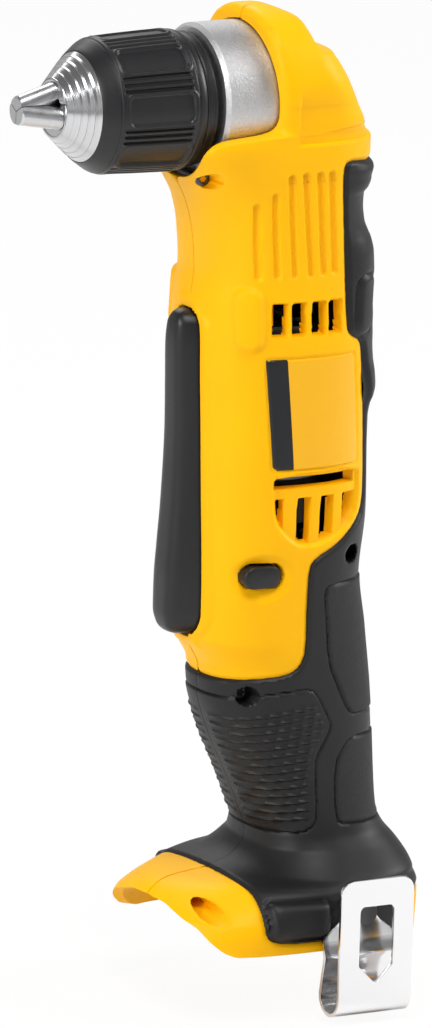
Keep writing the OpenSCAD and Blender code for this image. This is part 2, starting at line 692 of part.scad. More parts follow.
// Grille below the label: a lying slot over a rounded field, whose upright bars stay between four openings.
// The field's points are shares of the grille's width from its rear and of its height from its top.
grille_back = -20;
grille_w = 31;
grille_top = -122.2;
grille_h = 15;
grille_slot = [-117.9, -115.1];
grille_recess = 1.2;
grille_bar_shares = [[0, 0.175], [0.305, 0.457], [0.58, 0.72], [0.9, 0.99]];
grille_edge_shares = [[0.99, 0], [0.97, 0.37], [0.868, 0.71], [0.706, 0.947], [0.532, 0.99], [0.252, 0.81],
    [0.04, 0.5], [0, 0]];
grille_lip_shares = [[-0.03, -0.57], [1.02, -0.57]];
module grille_field(shares) {
    rotate([90, 0, 0]) linear_extrude(height = 2 * half_reach, center = true)
        polygon([for (p = shares) [grille_back + p[0] * grille_w, grille_top - p[1] * grille_h]]);
}
module lower_grille() {
    window_y([grille_back + overrun, grille_back + grille_w], grille_slot);
    intersection() {
        grille_field(grille_edge_shares);
        for (g = grille_bar_shares) box([grille_back + g[0] * grille_w, grille_back + g[1] * grille_w],
            [-half_reach, half_reach], [grille_top - grille_h, grille_top]);
    }
    difference() {
        grille_field(concat(grille_edge_shares, grille_lip_shares));
        body_skin(grille_recess);
    }
}
// Grooves down the neck, each from its top to its foot as shares of the body's depth and length
groove_shares = [[0.31, 0.166, 0.285, 0.29], [0.225, 0.147, 0.197, 0.288], [0.143, 0.116, 0.105, 0.288],
    [0.062, 0.1135, 0.015, 0.287], [-0.02, 0.1135, -0.058, 0.2855], [-0.09, 0.1135, -0.125, 0.284]];
neck_groove_r = 0.95;
neck_groove_depth = 0.7;
module neck_grooves() {
    difference() {
        for (g = groove_shares)
            slot_y([g[0] * body_d, -g[1] * body_len], [g[2] * body_d, -g[3] * body_len], neck_groove_r);
        body_skin(neck_groove_depth);
    }
}
// Raised pad on each side, ahead of the vents
side_pad_x = 19.4;
side_pad_half = 4;
side_pad_rise = 1.25;
side_pad = [-70.8, -58.8];
module side_pads() {
    intersection() {
        body_skin(-side_pad_rise);
        slot_y([side_pad_x, side_pad[0]], [side_pad_x, side_pad[1]], side_pad_half);
    }
}
// Trigger outline from the front, and the slot that it moves in.
// A row is its depth, the reach of its crown and its width, as shares of the trigger's own sizes.
trigger_shares = [[0, 0.86, 0.24], [0.02, 0.915, 0.57], [0.05, 0.95, 0.75], [0.1, 0.958, 0.79],
    [0.22, 0.95, 0.81], [0.39, 0.94, 0.85], [0.58, 0.953, 0.92], [0.73, 0.978, 0.98], [0.83, 0.994, 1],
    [0.93, 1, 0.97], [0.97, 0.972, 0.8], [0.99, 0.925, 0.55], [1, 0.875, 0.32]];
trigger_depth = 9;
trigger_back = trigger_x - trigger_depth;
slot_floor = 0.6;
slot_back = can_r + slot_floor;
slot_room = 1.2;
slot_len = trigger_len + slot_floor + slot_room;
function trigger_outline(side) = [for (s = trigger_shares)
    [side * (trigger_w / 2 * s[2] + slot_gap), slot_floor - trigger_top - slot_len * s[0]]];
function turned_round(list) = [for (i = [len(list) - 1:-1:0]) list[i]];
module trigger_slot() {
    translate([slot_back, 0, 0]) rotate([90, 0, 90]) linear_extrude(height = body_d - slot_back)
        polygon(concat(trigger_outline(1), turned_round(trigger_outline(-1))));
}
reverse_dish = 2.4;
reverse_x = 13;
reverse_z = -146.6;
module reverse_oval(grow, y) {
    r = reverse_h / 2 + grow;
    span = (reverse_l - reverse_h) / 2;
    translate([reverse_x, 0, reverse_z]) rotate([90, 0, 0]) linear_extrude(height = 2 * y, center = true) {
        for (s = [-1, 1]) translate([s * span, 0]) circle(r = r, $fn = $round);
        square([2 * span, 2 * r], center = true);
    }
}
// Depths between which the switch sits
switch_top = -151;
switch_low = -176;
// Places of the case screws: head, rear and grip, beside the switch, and foot
screw_hole_r = 2;
screw_half = 13;
head_screw_shares = [0.535, 0.134];
rear_screw_share = -0.313;
rear_screw_rise = 8.9;
grip_screw_share = 0.22;
grip_screw_drop = 9.4;
foot_screw_shares = [[0.36, 0.52], [-0.42, 0.3]];
screw_places = concat([[head_screw_shares[0] * body_d, -head_screw_shares[1] * body_len],
    [rear_screw_share * body_d, switch_top + rear_screw_rise],
    [grip_screw_share * body_d, switch_low - grip_screw_drop]],
    [for (s = foot_screw_shares) [s[0] * foot_l, foot_top - s[1] * foot_h]]);
boss_r = 4;
// Ribs and bosses end inside the wall, under the soft layer
rib_inset = (soft_t + wall) / 2;
module screw_bosses() {
    intersection() {
        union() {
            for (p = screw_places) bar_y(boss_r, p, -foot_w / 2, foot_w / 2);
            for (s = [0, 1]) mirror([0, s, 0])
                bar_y(insert_r + wall, [hook_x, hook_z], insert_y - wall, foot_w / 2);
        }
        body_skin(rib_inset);
    }
}
// Holes through the sides for the case screws and the two threaded inserts
module side_holes() {
    for (p = screw_places) bar_y(screw_hole_r, p, -half_reach, half_reach);
    for (s = [0, 1]) mirror([0, s, 0]) bar_y(insert_r + flat_gap, [hook_x, hook_z], insert_y, half_reach);
}
// Battery bay: the foot is open below, with an arch in its front wall
bay_share = 0.55;
bay_roof = foot_top - foot_h * bay_share;
bay_arch_r = 5;
bay_arch_w = 58;
rail_w = 8;
rail_h = 3;
rail_drop = 7;
rail_shares = [-0.45, 0.42];
module bay_arch() {
    for (s = [-1, 1]) translate([0, s * (bay_arch_w / 2 - bay_arch_r), bay_roof - bay_arch_r - wall / 2])
        along_x() cylinder(r = bay_arch_r, h = foot_l, $fn = $round);
    box([0, foot_l], span_at(0, bay_arch_w / 2 - bay_arch_r), [2 * foot_low, bay_roof - wall / 2]);
    box([0, foot_l], span_at(0, bay_arch_w / 2), [2 * foot_low, bay_roof - bay_arch_r - wall / 2]);
}
// Cross wall inside the shell, bored for what it carries
module rib(z, t, bore) {
    difference() {
        intersection() {
            body_skin(rib_inset);
            box([-half_reach, half_reach], [-half_reach, half_reach], [z - t, z]);
        }
        bar_z(bore, z - t - overrun, z + overrun);
    }
}
rib_t = 2.4;
rib_hole_r = 7;
pin_x = 23.4;
pin_drop = 4.6;
pin_z = -trigger_top - pin_drop;
pin_boss_r = 3.4;
label_w = 34;
label_h = 36;
label_x = -2;
label_z = -94.5;
label_t = 0.8;
module label_pocket(grow) {
    box([label_x - label_w / 2 - grow, label_x + label_w / 2 + grow], [0, half_reach],
        [label_z - label_h / 2 - grow, label_z + label_h / 2 + grow]);
}
// The two halves together: outer skin, hollow inside, with the ribs and bosses that hold the works
module shell() {
    difference() {
        union() {
            difference() {
                union() {
                    body_skin(0);
                    side_pads();
                }
                difference() {
                    soft_zone();
                    body_skin(soft_t);
                }
                intersection() {
                    body_skin(wall, overrun);
                    box([-half_reach, half_reach], [-half_reach, half_reach],
                        [2 * foot_low, neck_low + overrun]);
                }
            }
            rib(-can_top - rib_t, rib_t, can_r + flat_gap);
            rib(bell_top + 2 * rib_t, rib_t, can_r + flat_gap);
            rib(neck_low - free_gap, rib_t, neck_r / 2);
            rib(switch_top + rib_t, rib_t, rib_hole_r);
            rib(switch_low, rib_t, rib_hole_r);
            rib(bay_roof + rib_t, rib_t, rib_hole_r);
            screw_bosses();
            intersection() {
                for (s = [0, 1]) mirror([0, s, 0]) {
                    box(foot_l * rail_shares, [foot_w / 2 - wall - rail_w, foot_w / 2],
                        [foot_low + rail_drop - rail_h, foot_low + rail_drop]);
                    bar_y(pin_boss_r, [pin_x, pin_z], trigger_w / 2 + slot_gap, body_w / 2);
                }
                body_skin(rib_inset);
            }
        }
        case_skin(flat_gap + seat_gap);
        bar_x(sleeve_r + overrun, collar_x - overrun, mouth_x);
        upper_vents();
        lower_grille();
        neck_grooves();
        trigger_slot();
        plunger_room();
        reverse_oval(slot_gap, half_reach);
        bay_arch();
        bar_y(trigger_pin_r + seat_gap, [pin_x, pin_z], -pin_len / 2, pin_len / 2);
        side_holes();
        lead_paths(lead_r + flat_gap, foot_low, switch_low + overrun);
        difference() {
            label_pocket(seat_gap);
            body_skin(label_t);
        }
        difference() {
            reverse_oval(reverse_dish, half_reach);
            body_skin(reverse_dish / 2);
        }
    }
}
module housing_left() { color(yellow) place() half(1) shell($round = shell_fn); }
module housing_right() { color(yellow) place() half(-1) shell($round = shell_fn); }
module label_plate() {
    color("#e2a51b") place() intersection() {
        difference() {
            body_skin(0);
            body_skin(label_t);
        }
        label_pocket(0);
    }
}

// Trigger: a long crowned paddle, hollow behind, hung from a pin at its top
trigger_square = 4.2;
trigger_arc = 18;
trigger_wall = 3;
hollow_share = 0.94;
hollow_w_share = 0.79;
hollow_x = trigger_x * hollow_share - trigger_wall;
hollow_half = trigger_w / 2 * hollow_w_share - trigger_wall;
ear_w = 10.4;
// One level section of the paddle: half a superellipse from its back edge to its crown
function trigger_ring(s) = [for (a = [-90:trigger_arc:90])
    [trigger_back + (trigger_x * s[1] - trigger_back) * pow(abs(cos(a)), 2 / trigger_square),
        trigger_w / 2 * s[2] * sign(a) * pow(abs(sin(a)), 2 / trigger_square),
        -trigger_top - trigger_len * s[0]]];
module paddle() {
    rings = [for (s = turned_round(trigger_shares)) trigger_ring(s)];
    n = len(rings[0]);
    rows = len(rings);
    sides = [for (r = [0:rows - 2]) for (i = [0:n - 1]) let(a = r * n + i, b = r * n + (i + 1) % n)
        for (f = [[a, a + n, b + n], [a, b + n, b]]) f];
    ends = [[for (i = [0:n - 1]) i], [for (i = [n - 1:-1:0]) (rows - 1) * n + i]];
    polyhedron([for (r = rings) for (p = r) p], concat(sides, ends));
}
module trigger() {
    color(black) place() difference() {
        union() {
            difference() {
                paddle();
                box([trigger_back - overrun, hollow_x], span_at(0, hollow_half),
                    [-trigger_top - trigger_len + trigger_wall * 2, pin_z - pin_boss_r * 2]);
            }
            bar_y(pin_boss_r, [pin_x, pin_z], -ear_w / 2, ear_w / 2);
            box([pin_x, trigger_back + overrun], [-ear_w / 2, ear_w / 2],
                [pin_z - pin_boss_r, pin_z + pin_boss_r]);
        }
        bar_y(trigger_pin_r + run_gap, [pin_x, pin_z], -trigger_w, trigger_w);
    }
}
pin_end = 4;
pin_len = trigger_w + 2 * pin_end;
module trigger_pin() { color(steel) place() bar_y(trigger_pin_r, [pin_x, pin_z], -pin_len / 2, pin_len / 2); }

// Switch below the motor, with a plunger that the trigger pushes
switch_w = 22;
switch_x0 = -20;
switch_x1 = 10;
plunger_z = -156.5;
plunger_w = 8;
plunger_in = 12;
plunger_stroke = 8;
module switch_body() {
    color("#1f1f20") place() difference() {
        box([switch_x0, switch_x1], [-switch_w / 2, switch_w / 2], [switch_low, switch_top]);
        box([switch_x1 - plunger_in, switch_x1 + overrun], span_at(0, plunger_w / 2 + free_gap),
            span_at(plunger_z, plunger_w / 2 + free_gap));
    }
}
module switch_plunger() {
    color("#4d4d50") place() box([switch_x1 - plunger_in + plunger_stroke, hollow_x - 2 * free_gap],
        span_at(0, plunger_w / 2), span_at(plunger_z, plunger_w / 2));
}
// Way for the plunger through whatever stands ahead of the switch
module plunger_room() {
    room = plunger_w / 2 + free_gap;
    box([switch_x1, trigger_x], span_at(0, room), span_at(plunger_z, room));
}
// Reverse button: one bar right across the body
reverse_y = 25;
module reverse_button() { color(black) place() reverse_oval(0, reverse_y); }

// Foot: terminal block with its blades, and the leads up the grip
block_l = 34;
block_w = 40;
block_h = 8;
block_x = -14;
blades = 4;
blade_h = 7;
blade_setback = 2;
lead_r = 1.4;
module terminal_block() {
    color("#242425") place() difference() {
        box(span_at(block_x, block_l / 2), span_at(0, block_w / 2), [bay_roof - block_h, bay_roof]);
        for (k = [0:blades - 1]) blade_slot(k);
    }
}
module blade_slot(k) {
    step = block_w / blades;
    box([block_x, block_x + block_l / 2 + overrun], span_at((k - (blades - 1) / 2) * step, 2 * blade_t),
        [bay_roof - block_h - overrun, bay_roof - block_h + blade_h]);
}
module terminal_blades() {
    step = block_w / blades;
    color(copper) place() for (k = [0:blades - 1])
        box([block_x, block_x + block_l / 2 - blade_setback],
            span_at((k - (blades - 1) / 2) * step, blade_t / 2),
            [bay_roof - block_h, bay_roof - block_h + blade_h]);
}
module lead_paths(r, z0, z1) { for (s = [-1, 1]) translate([block_x, s * lead_r * 2, 0]) bar_z(r, z0, z1); }
module power_leads() { color("#a52a22") place() lead_paths(lead_r, bay_roof, switch_low); }

// Belt hook: one strip bent to a U, screwed to the left of the foot
hook_x = -17;
hook_share = 0.62;
hook_z = foot_top - foot_h * hook_share;
hook_lift = 0.1;
hook_seat = foot_w / 2 + hook_lift;
hook_bend_r = (hook_gap + hook_t) / 2;
hook_drop = 20;
hook_low = foot_low - hook_drop;
hook_bulge = 2.4;
hook_tab_w = 12;
hook_mid = hook_seat + hook_t / 2;
hook_bend = [for (a = [180:arc_step:360])
    [hook_mid + hook_bend_r, hook_low + hook_bend_r] + hook_bend_r * [cos(a), sin(a)]];
hook_path = concat([[hook_mid, hook_z + hook_tab_w / 2], [hook_mid, foot_low - hook_t],
    [hook_mid - hook_bulge, foot_low - hook_t - 2 * hook_bulge],
    [hook_mid, foot_low - hook_t - 4 * hook_bulge]],
    hook_bend, [[hook_mid + 2 * hook_bend_r, hook_low + hook_bend_r + hook_h]]);
// A strip of even thickness along a path
function unit(v) = v / norm(v);
function strip(path, t) = let(n = len(path),
    side = [for (i = [0:n - 1]) let(d = unit(path[min(i + 1, n - 1)] - path[max(i - 1, 0)]))
        [-d[1], d[0]] * t / 2])
    concat([for (i = [0:n - 1]) path[i] + side[i]], [for (i = [n - 1:-1:0]) path[i] - side[i]]);
window_w = 12;
window_h = 25;
window_point = 4;
window_share = 0.2;
module belt_hook() {
    outer = hook_seat + hook_t + hook_gap;
    color("#e3e4e6") place() difference() {
        translate([hook_x - hook_w / 2, 0, 0]) rotate([90, 0, 90]) linear_extrude(height = hook_w)
            polygon(strip(hook_path, hook_t));
        translate([hook_x, outer - overrun, hook_low + hook_bend_r + hook_h * window_share]) along_y()
            linear_extrude(height = hook_t + 2 * overrun) polygon([[0, 0], [window_w / 2, -window_point],
                [window_w / 2, -window_h], [-window_w / 2, -window_h], [-window_w / 2, -window_point]]);
        for (s = [0, 1]) translate([hook_x, 0, 0]) mirror([s, 0, 0]) box([hook_tab_w / 2, hook_w],
            [hook_seat - overrun, hook_seat + hook_t + overrun], [foot_low - hook_t, hook_z + hook_tab_w]);
        bar_y(hook_screw_r, [hook_x, hook_z], hook_seat - overrun, hook_seat + hook_t + overrun);
    }
}
insert_r = 3;
insert_len = 7;
insert_y = foot_w / 2 - insert_len;
insert_bore_r = 1.65;
hook_head_r = 3.6;
hook_head_h = 2;
module belt_hook_screw() {
    color("#2e2f31") place() {
        bar_y(insert_bore_r, [hook_x, hook_z], insert_y + overrun, hook_seat + hook_t);
        bar_y(hook_head_r, [hook_x, hook_z], hook_seat + hook_t, hook_seat + hook_t + hook_head_h);
    }
}
module threaded_inserts() {
    color("#c8a24a") place() for (s = [0, 1]) mirror([0, s, 0]) difference() {
        bar_y(insert_r, [hook_x, hook_z], insert_y, foot_w / 2);
        bar_y(insert_bore_r, [hook_x, hook_z], insert_y - overrun, foot_w / 2 + overrun);
    }
}
module housing_screws() {
    color("#505256") place() for (p = screw_places)
        bar_y(screw_hole_r - seat_gap, p, -screw_half, screw_half);
}

housing_left();
housing_right();
overmould_left();
overmould_right();
label_plate();
gear_case();
front_bearing();
rear_bush();
pinion_bearing();
ring_gear();
spindle();
bevel_gear();
bevel_pinion();
output_carrier();
output_planet(0);  // output_planet_1
output_planet(1);  // output_planet_2
output_planet(2);  // output_planet_3
middle_carrier();
input_planet(0);  // input_planet_1
input_planet(1);  // input_planet_2
input_planet(2);  // input_planet_3
motor_pinion();
motor_shaft();
armature();
commutator();
cooling_fan();
motor_can();
motor_magnets();
motor_end_bell();
carbon_brushes();
chuck_body();
chuck_screw();
dust_ring();
chuck_sleeve();
chuck_nut();
chuck_jaw(0);  // chuck_jaw_1
chuck_jaw(1);  // chuck_jaw_2
chuck_jaw(2);  // chuck_jaw_3
trigger();
trigger_pin();
switch_body();
switch_plunger();
reverse_button();
terminal_block();
terminal_blades();
power_leads();
belt_hook();
belt_hook_screw();
threaded_inserts();
housing_screws();
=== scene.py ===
import json
import math
import bmesh
import bpy
import numpy as np
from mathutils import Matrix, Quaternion, Vector

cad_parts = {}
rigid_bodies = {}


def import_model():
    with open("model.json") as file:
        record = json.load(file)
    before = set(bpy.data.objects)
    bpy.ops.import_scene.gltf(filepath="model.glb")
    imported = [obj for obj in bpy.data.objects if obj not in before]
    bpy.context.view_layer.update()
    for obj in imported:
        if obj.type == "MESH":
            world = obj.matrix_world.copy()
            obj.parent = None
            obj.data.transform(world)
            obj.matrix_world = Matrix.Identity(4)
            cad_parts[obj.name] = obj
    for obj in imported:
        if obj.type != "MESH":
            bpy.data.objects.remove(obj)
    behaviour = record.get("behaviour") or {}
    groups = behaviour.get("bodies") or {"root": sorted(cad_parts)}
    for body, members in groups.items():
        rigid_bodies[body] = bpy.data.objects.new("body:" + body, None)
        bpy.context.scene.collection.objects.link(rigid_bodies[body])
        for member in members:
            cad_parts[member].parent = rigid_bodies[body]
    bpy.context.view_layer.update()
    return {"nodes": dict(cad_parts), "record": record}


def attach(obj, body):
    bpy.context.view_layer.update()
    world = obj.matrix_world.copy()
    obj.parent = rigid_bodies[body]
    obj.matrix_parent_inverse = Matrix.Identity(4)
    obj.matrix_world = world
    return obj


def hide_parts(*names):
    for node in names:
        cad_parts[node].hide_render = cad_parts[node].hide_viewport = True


for leftOver in list(bpy.data.objects):
    bpy.data.objects.remove(leftOver)
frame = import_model()
originX = 73.0  # the frame's origin from the motor axis, mm
print("frame loaded:", len(frame["nodes"]), "nodes")


# numbers and outlines, all in mm from where the motor axis meets the spindle axis

def smoothStep(a, b, x):
    # 0 before a, 1 after b, a cubic between; on a distance, a and b are where an edge begins and ends
    t = np.clip((x - a) / (b - a), 0, 1)
    return t * t * (3 - 2 * t)


def curveThrough(t, xs, ys):
    # cubic through the points, its slopes the harmonic mean of the two neighbours, so it never overshoots;
    # level beyond its ends
    xs, ys = np.asarray(xs, float), np.asarray(ys, float)
    h = np.diff(xs)
    d = np.diff(ys) / h
    m = np.zeros_like(ys)
    m[0], m[-1] = d[0], d[-1]
    same = d[1:] * d[:-1] > 0
    w1, w2 = 2 * h[1:] + h[:-1], h[1:] + 2 * h[:-1]
    safe = np.where(d == 0, 1, d)
    m[1:-1] = np.where(same, (w1 + w2) / (w1 / safe[:-1] + w2 / safe[1:]), 0)
    k = np.clip(np.searchsorted(xs, t) - 1, 0, len(h) - 1)
    s = np.clip((t - xs[k]) / h[k], 0, 1)
    return (ys[k] * (1 + 2 * s) * (1 - s) ** 2 + h[k] * m[k] * s * (1 - s) ** 2
            + ys[k + 1] * s * s * (3 - 2 * s) + h[k] * m[k + 1] * s * s * (s - 1))


def boxDistance(x, z, cx, cz, hx, hz, r):
    # signed distance to a rectangle with round corners
    qx, qz = np.abs(x - cx) - hx + r, np.abs(z - cz) - hz + r
    return np.hypot(np.maximum(qx, 0), np.maximum(qz, 0)) + np.minimum(np.maximum(qx, qz), 0) - r


def lineDistance(x, z, a, b, r):
    # signed distance to a straight slot with round ends
    ex, ez = b[0] - a[0], b[1] - a[1]
    t = np.clip(((x - a[0]) * ex + (z - a[1]) * ez) / (ex * ex + ez * ez), 0, 1)
    return np.hypot(x - a[0] - ex * t, z - a[1] - ez * t) - r


def outlineDistance(x, z, points):
    # signed distance to a closed outline, negative inside: nearest edge, sign by crossings
    far = np.full(x.shape, 1e9)
    inside = np.zeros(x.shape, bool)
    for (ax, az), (bx, bz) in zip(points, np.roll(points, -1, axis=0)):
        ex, ez = bx - ax, bz - az
        t = np.clip(((x - ax) * ex + (z - az) * ez) / (ex * ex + ez * ez + 1e-12), 0, 1)
        far = np.minimum(far, np.hypot(x - ax - ex * t, z - az - ez * t))
        inside ^= ((az <= z) != (bz <= z)) & (x < ax + ex * (z - az) / (ez if abs(ez) > 1e-9 else 1e-9))
    return np.where(inside, -far, far)


def roundOff(points):
    # cuts each corner at a quarter of its sides
    p = np.asarray(points, float)
    q = np.roll(p, -1, axis=0)
    return np.stack([0.75 * p + 0.25 * q, 0.25 * p + 0.75 * q], 1).reshape(-1, 2)


def gridQuads(ids):
    # the four corners of each cell of a grid of point numbers
    return np.stack([ids[:-1, :-1], ids[:-1, 1:], ids[1:, 1:], ids[1:, :-1]], -1)


# points this close are one, in metres; radius of a ring that is drawn to a tip, in mm
meshing = dict(weld=4e-6, tip=0.001)


def makePiece(name, parts, slot, body, hides=(), sharp=38):
    # each part is a grid of points in mm, with faces to keep, a closing seam, a flip and a grain value
    verts, quads, grains, start = [], [], [], 0
    for part in parts:
        p = np.asarray(part["points"], float)
        rows, cols = p.shape[:2]
        ids = np.arange(rows * cols).reshape(rows, cols) + start
        if part.get("around"):
            ids = np.concatenate([ids, ids[:, :1]], 1)
        q = gridQuads(ids)
        q = q[part["keep"]] if "keep" in part else q.reshape(-1, 4)
        quads.append(q[:, ::-1] if part.get("flip") else q)
        verts.append(p.reshape(-1, 3))
        grains.append(np.broadcast_to(part.get("grain", 0.0), (rows, cols)).ravel())
        start += rows * cols
    used, q = np.unique(np.concatenate(quads), return_inverse=True)
    q = q.reshape(-1, 4)
    v = (np.concatenate(verts)[used] - [originX, 0, 0]) / 1000
    mesh = bpy.data.meshes.new(name)
    mesh.vertices.add(len(v))
    mesh.vertices.foreach_set("co", v.astype(np.float32).ravel())
    mesh.loops.add(q.size)
    mesh.loops.foreach_set("vertex_index", q.astype(np.int32).ravel())
    mesh.polygons.add(len(q))
    mesh.polygons.foreach_set("loop_start", np.arange(0, q.size, 4, dtype=np.int32))
    grain = mesh.attributes.new("grain", "FLOAT", "POINT")
    grain.data.foreach_set("value", np.concatenate(grains)[used].astype(np.float32))
    mesh.update(calc_edges=True)
    bm = bmesh.new()
    bm.from_mesh(mesh)
    bmesh.ops.remove_doubles(bm, verts=bm.verts, dist=meshing["weld"])
    bm.to_mesh(mesh)
    bm.free()
    mesh.shade_smooth()
    mesh.set_sharp_from_angle(angle=math.radians(sharp))
    piece = bpy.data.objects.new(name, mesh)
    bpy.context.scene.collection.objects.link(piece)
    mesh.materials.append(paints[slot])
    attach(piece, body)
    if hides:
        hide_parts(*hides)
    print("piece", name, len(mesh.polygons), "faces")
    return piece


def lathe(profile, steps):
    # turns (x, radius) points round the spindle axis; faces look out where the points run from front to rear
    x, r = np.asarray(profile, float).T
    a = np.linspace(0, 2 * np.pi, steps, endpoint=False)
    return np.stack([x[:, None] + 0 * a, r[:, None] * np.sin(a), r[:, None] * np.cos(a)], -1)


# paints

class Wire:
    # a socket that takes part in sums, and the node tree it is in
    def __init__(self, tree, socket):
        self.tree, self.socket = tree, socket

    def calc(self, how, a, b):
        return self.tree.node("ShaderNodeMath", {"operation": how}, {0: a, 1: b})

    def __add__(self, other):
        return self.calc("ADD", self, other)

    def __radd__(self, other):
        return self.calc("ADD", other, self)

    def __mul__(self, other):
        return self.calc("MULTIPLY", self, other)

    def __rmul__(self, other):
        return self.calc("MULTIPLY", other, self)

    def __gt__(self, other):
        return self.calc("GREATER_THAN", self, other)

    def __lt__(self, other):
        return self.calc("LESS_THAN", self, other)


class NodeTree:
    def __init__(self, tree):
        self.tree = tree

    def find(self, kind):
        return next(n for n in self.tree.nodes if n.type == kind)

    def link(self, wire, socket):
        self.tree.links.new(wire.socket, socket)

    def node(self, kind, settings=None, sockets=None, out=0):
        # any node: its settings first, then a value or a link for each socket
        made = self.tree.nodes.new(kind)
        for key, value in (settings or {}).items():
            setattr(made, key, value)
        for key, value in (sockets or {}).items():
            if isinstance(value, Wire):
                self.link(value, made.inputs[key])
            else:
                made.inputs[key].default_value = value
        return Wire(self, made.outputs[out])


class Paint(NodeTree):
    # a material whose fixed values sit on the shader's own sockets
    def __init__(self, name, **fixed):
        self.material = bpy.data.materials.new(name)
        self.material.use_nodes = True
        super().__init__(self.material.node_tree)
        self.shader = self.find("BSDF_PRINCIPLED")
        for key, value in fixed.items():
            self.shader.inputs[key.replace("_", " ")].default_value = value

    def feed(self, name, wire):
        self.link(wire, self.shader.inputs[name])

    def place(self):
        return self.node("ShaderNodeTexCoord", out="Object")

    def mark(self):
        return self.node("ShaderNodeAttribute", {"attribute_name": "grain"}, out="Fac")

    def noise(self, scale, detail=3.0, rough=0.5):
        return self.node("ShaderNodeTexNoise", {"noise_dimensions": "3D"},
                         {"Vector": self.place(), "Scale": scale, "Detail": detail, "Roughness": rough})

    def mix(self, factor, a, b):
        return self.node("ShaderNodeMix", {"data_type": "RGBA"}, {0: factor, 6: a, 7: b}, out=2)

    def bump(self, height, strength, distance):
        self.feed("Normal", self.node("ShaderNodeBump", None,
                                      {"Strength": strength, "Distance": distance, "Height": height}))


def tone(r, g, b):
    # written colour to linear light
    linear = [((c / 255 + 0.055) / 1.055) ** 2.4 if c > 10 else c / 255 / 12.92 for c in (r, g, b)]
    return (*linear, 1.0)


def darker(colour, share):
    return tuple(c * share for c in colour[:3]) + (1.0,)


def yellowMoulding():
    p = Paint("yellowMoulding", IOR=1.5, Specular_IOR_Level=0.12)
    broad, fine = p.noise(38, detail=2), p.noise(2600, detail=2, rough=0.6)
    p.feed("Base Color", p.mix(broad, tone(254, 188, 4), tone(251, 182, 6)))
    p.feed("Roughness", 0.36 + 0.1 * p.noise(420) + 0.04 * broad)
    p.bump(fine, strength=0.10, distance=0.00006)
    return p.material


def softMoulding():
    # spark-eroded rubber; the grain attribute marks the coarser gripping pads
    p = Paint("softMoulding", IOR=1.47, Specular_IOR_Level=0.38)
    pad = p.mark()
    fine, coarse = p.noise(2400, detail=2, rough=0.6), p.noise(1150, detail=2, rough=0.55)
    p.feed("Base Color", p.mix(pad * (0.35 + 0.5 * coarse), tone(19, 19, 21), tone(38, 38, 40)))
    p.feed("Roughness", 0.44 + 0.1 * p.noise(300) + 0.16 * pad)
    p.bump(fine * 0.35 + coarse * pad * 2.4, strength=0.35, distance=0.00012)
    return p.material


def labelPrint():
    # plain yellow panel with a plain dark strip along its front edge, which the grain attribute marks
    p = Paint("labelPrint", Coat_Weight=0.12, Coat_Roughness=0.15, IOR=1.5, Specular_IOR_Level=0.25)
    p.feed("Base Color", p.mix(p.mark() > 0.5, tone(242, 178, 14), tone(26, 27, 30)))
    p.feed("Roughness", 0.3 + 0.12 * p.noise(500, detail=2))
    p.bump(p.noise(1800, detail=2), strength=0.05, distance=0.00004)
    return p.material


def metal(name, colour, rough, fleck=0.06, grainScale=900.0, bump=0.08, distance=0.00005):
    p = Paint(name, Metallic=1.0)
    grain = p.noise(grainScale, detail=4, rough=0.6)
    p.feed("Base Color", p.mix(grain, darker(colour, 1 - fleck * 2), colour))
    p.feed("Roughness", rough - 0.06 + 0.16 * p.noise(grainScale * 0.35))
    p.bump(grain, bump, distance)
    return p.material


def turnedMetal(name, colour, rough, pitch=2600.0):
    # lathe marks: rings along the spindle axis
    p = Paint(name, Metallic=1.0)
    along = p.node("ShaderNodeSeparateXYZ", None, {0: p.place()}, out="X")
    rings = p.node("ShaderNodeTexNoise", {"noise_dimensions": "1D"},
                   {"W": along * pitch, "Scale": 1.0, "Detail": 2.0})
    p.feed("Base Color", p.mix(rings, darker(colour, 0.82), colour))
    p.feed("Roughness", rough - 0.05 + 0.12 * rings)
    p.bump(rings, strength=0.16, distance=0.00005)
    return p.material


def plainPlastic(name, colour, rough, grainScale=1500.0):
    p = Paint(name, IOR=1.48, Specular_IOR_Level=0.45)
    grain = p.noise(grainScale, rough=0.55)
    p.feed("Base Color", p.mix(grain, darker(colour, 0.85), colour))
    p.feed("Roughness", rough - 0.05 + 0.1 * p.noise(grainScale * 0.2))
    p.bump(grain, strength=0.14, distance=0.00007)
    return p.material


paints = dict(
    yellow_plastic=yellowMoulding(), soft_rubber=softMoulding(), label=labelPrint(),
    cast_alloy=metal("beadBlastedAlloy", (0.7, 0.7, 0.71, 1), 0.44, fleck=0.2, grainScale=1300, bump=0.6,
                     distance=0.00025),
    machine_steel=metal("gearSteel", (0.42, 0.42, 0.43, 1), 0.34),
    bronze=metal("bushBronze", (0.55, 0.36, 0.16, 1), 0.4),
    copper=metal("copper", (0.72, 0.36, 0.2, 1), 0.3),
    core_iron=metal("coreIron", (0.2, 0.2, 0.21, 1), 0.5),
    can_steel=metal("canSteel", (0.5, 0.5, 0.5, 1), 0.36),
    chuck_steel=turnedMetal("turnedSteel", (0.62, 0.62, 0.63, 1), 0.19),
    jaw_steel=metal("jawSteel", (0.6, 0.6, 0.61, 1), 0.27, fleck=0.05, grainScale=700),
    sleeve_plastic=plainPlastic("sleevePlastic", tone(26, 26, 28), 0.38),
    black_plastic=plainPlastic("blackPlastic", tone(22, 22, 24), 0.38),
    lead_rubber=plainPlastic("leadRubber", tone(150, 30, 26), 0.5),
    hook_chrome=metal("hookChrome", (0.8, 0.8, 0.81, 1), 0.12, fleck=0.02, grainScale=300, bump=0.03),
    dark_screw=metal("darkScrew", (0.1, 0.1, 0.105, 1), 0.42))
for entry in frame["record"]["subparts"]:
    for spot in frame["nodes"][entry["node"]].material_slots:
        spot.material = paints[entry["material_slot"]]
print("paints ready:", len(paints))


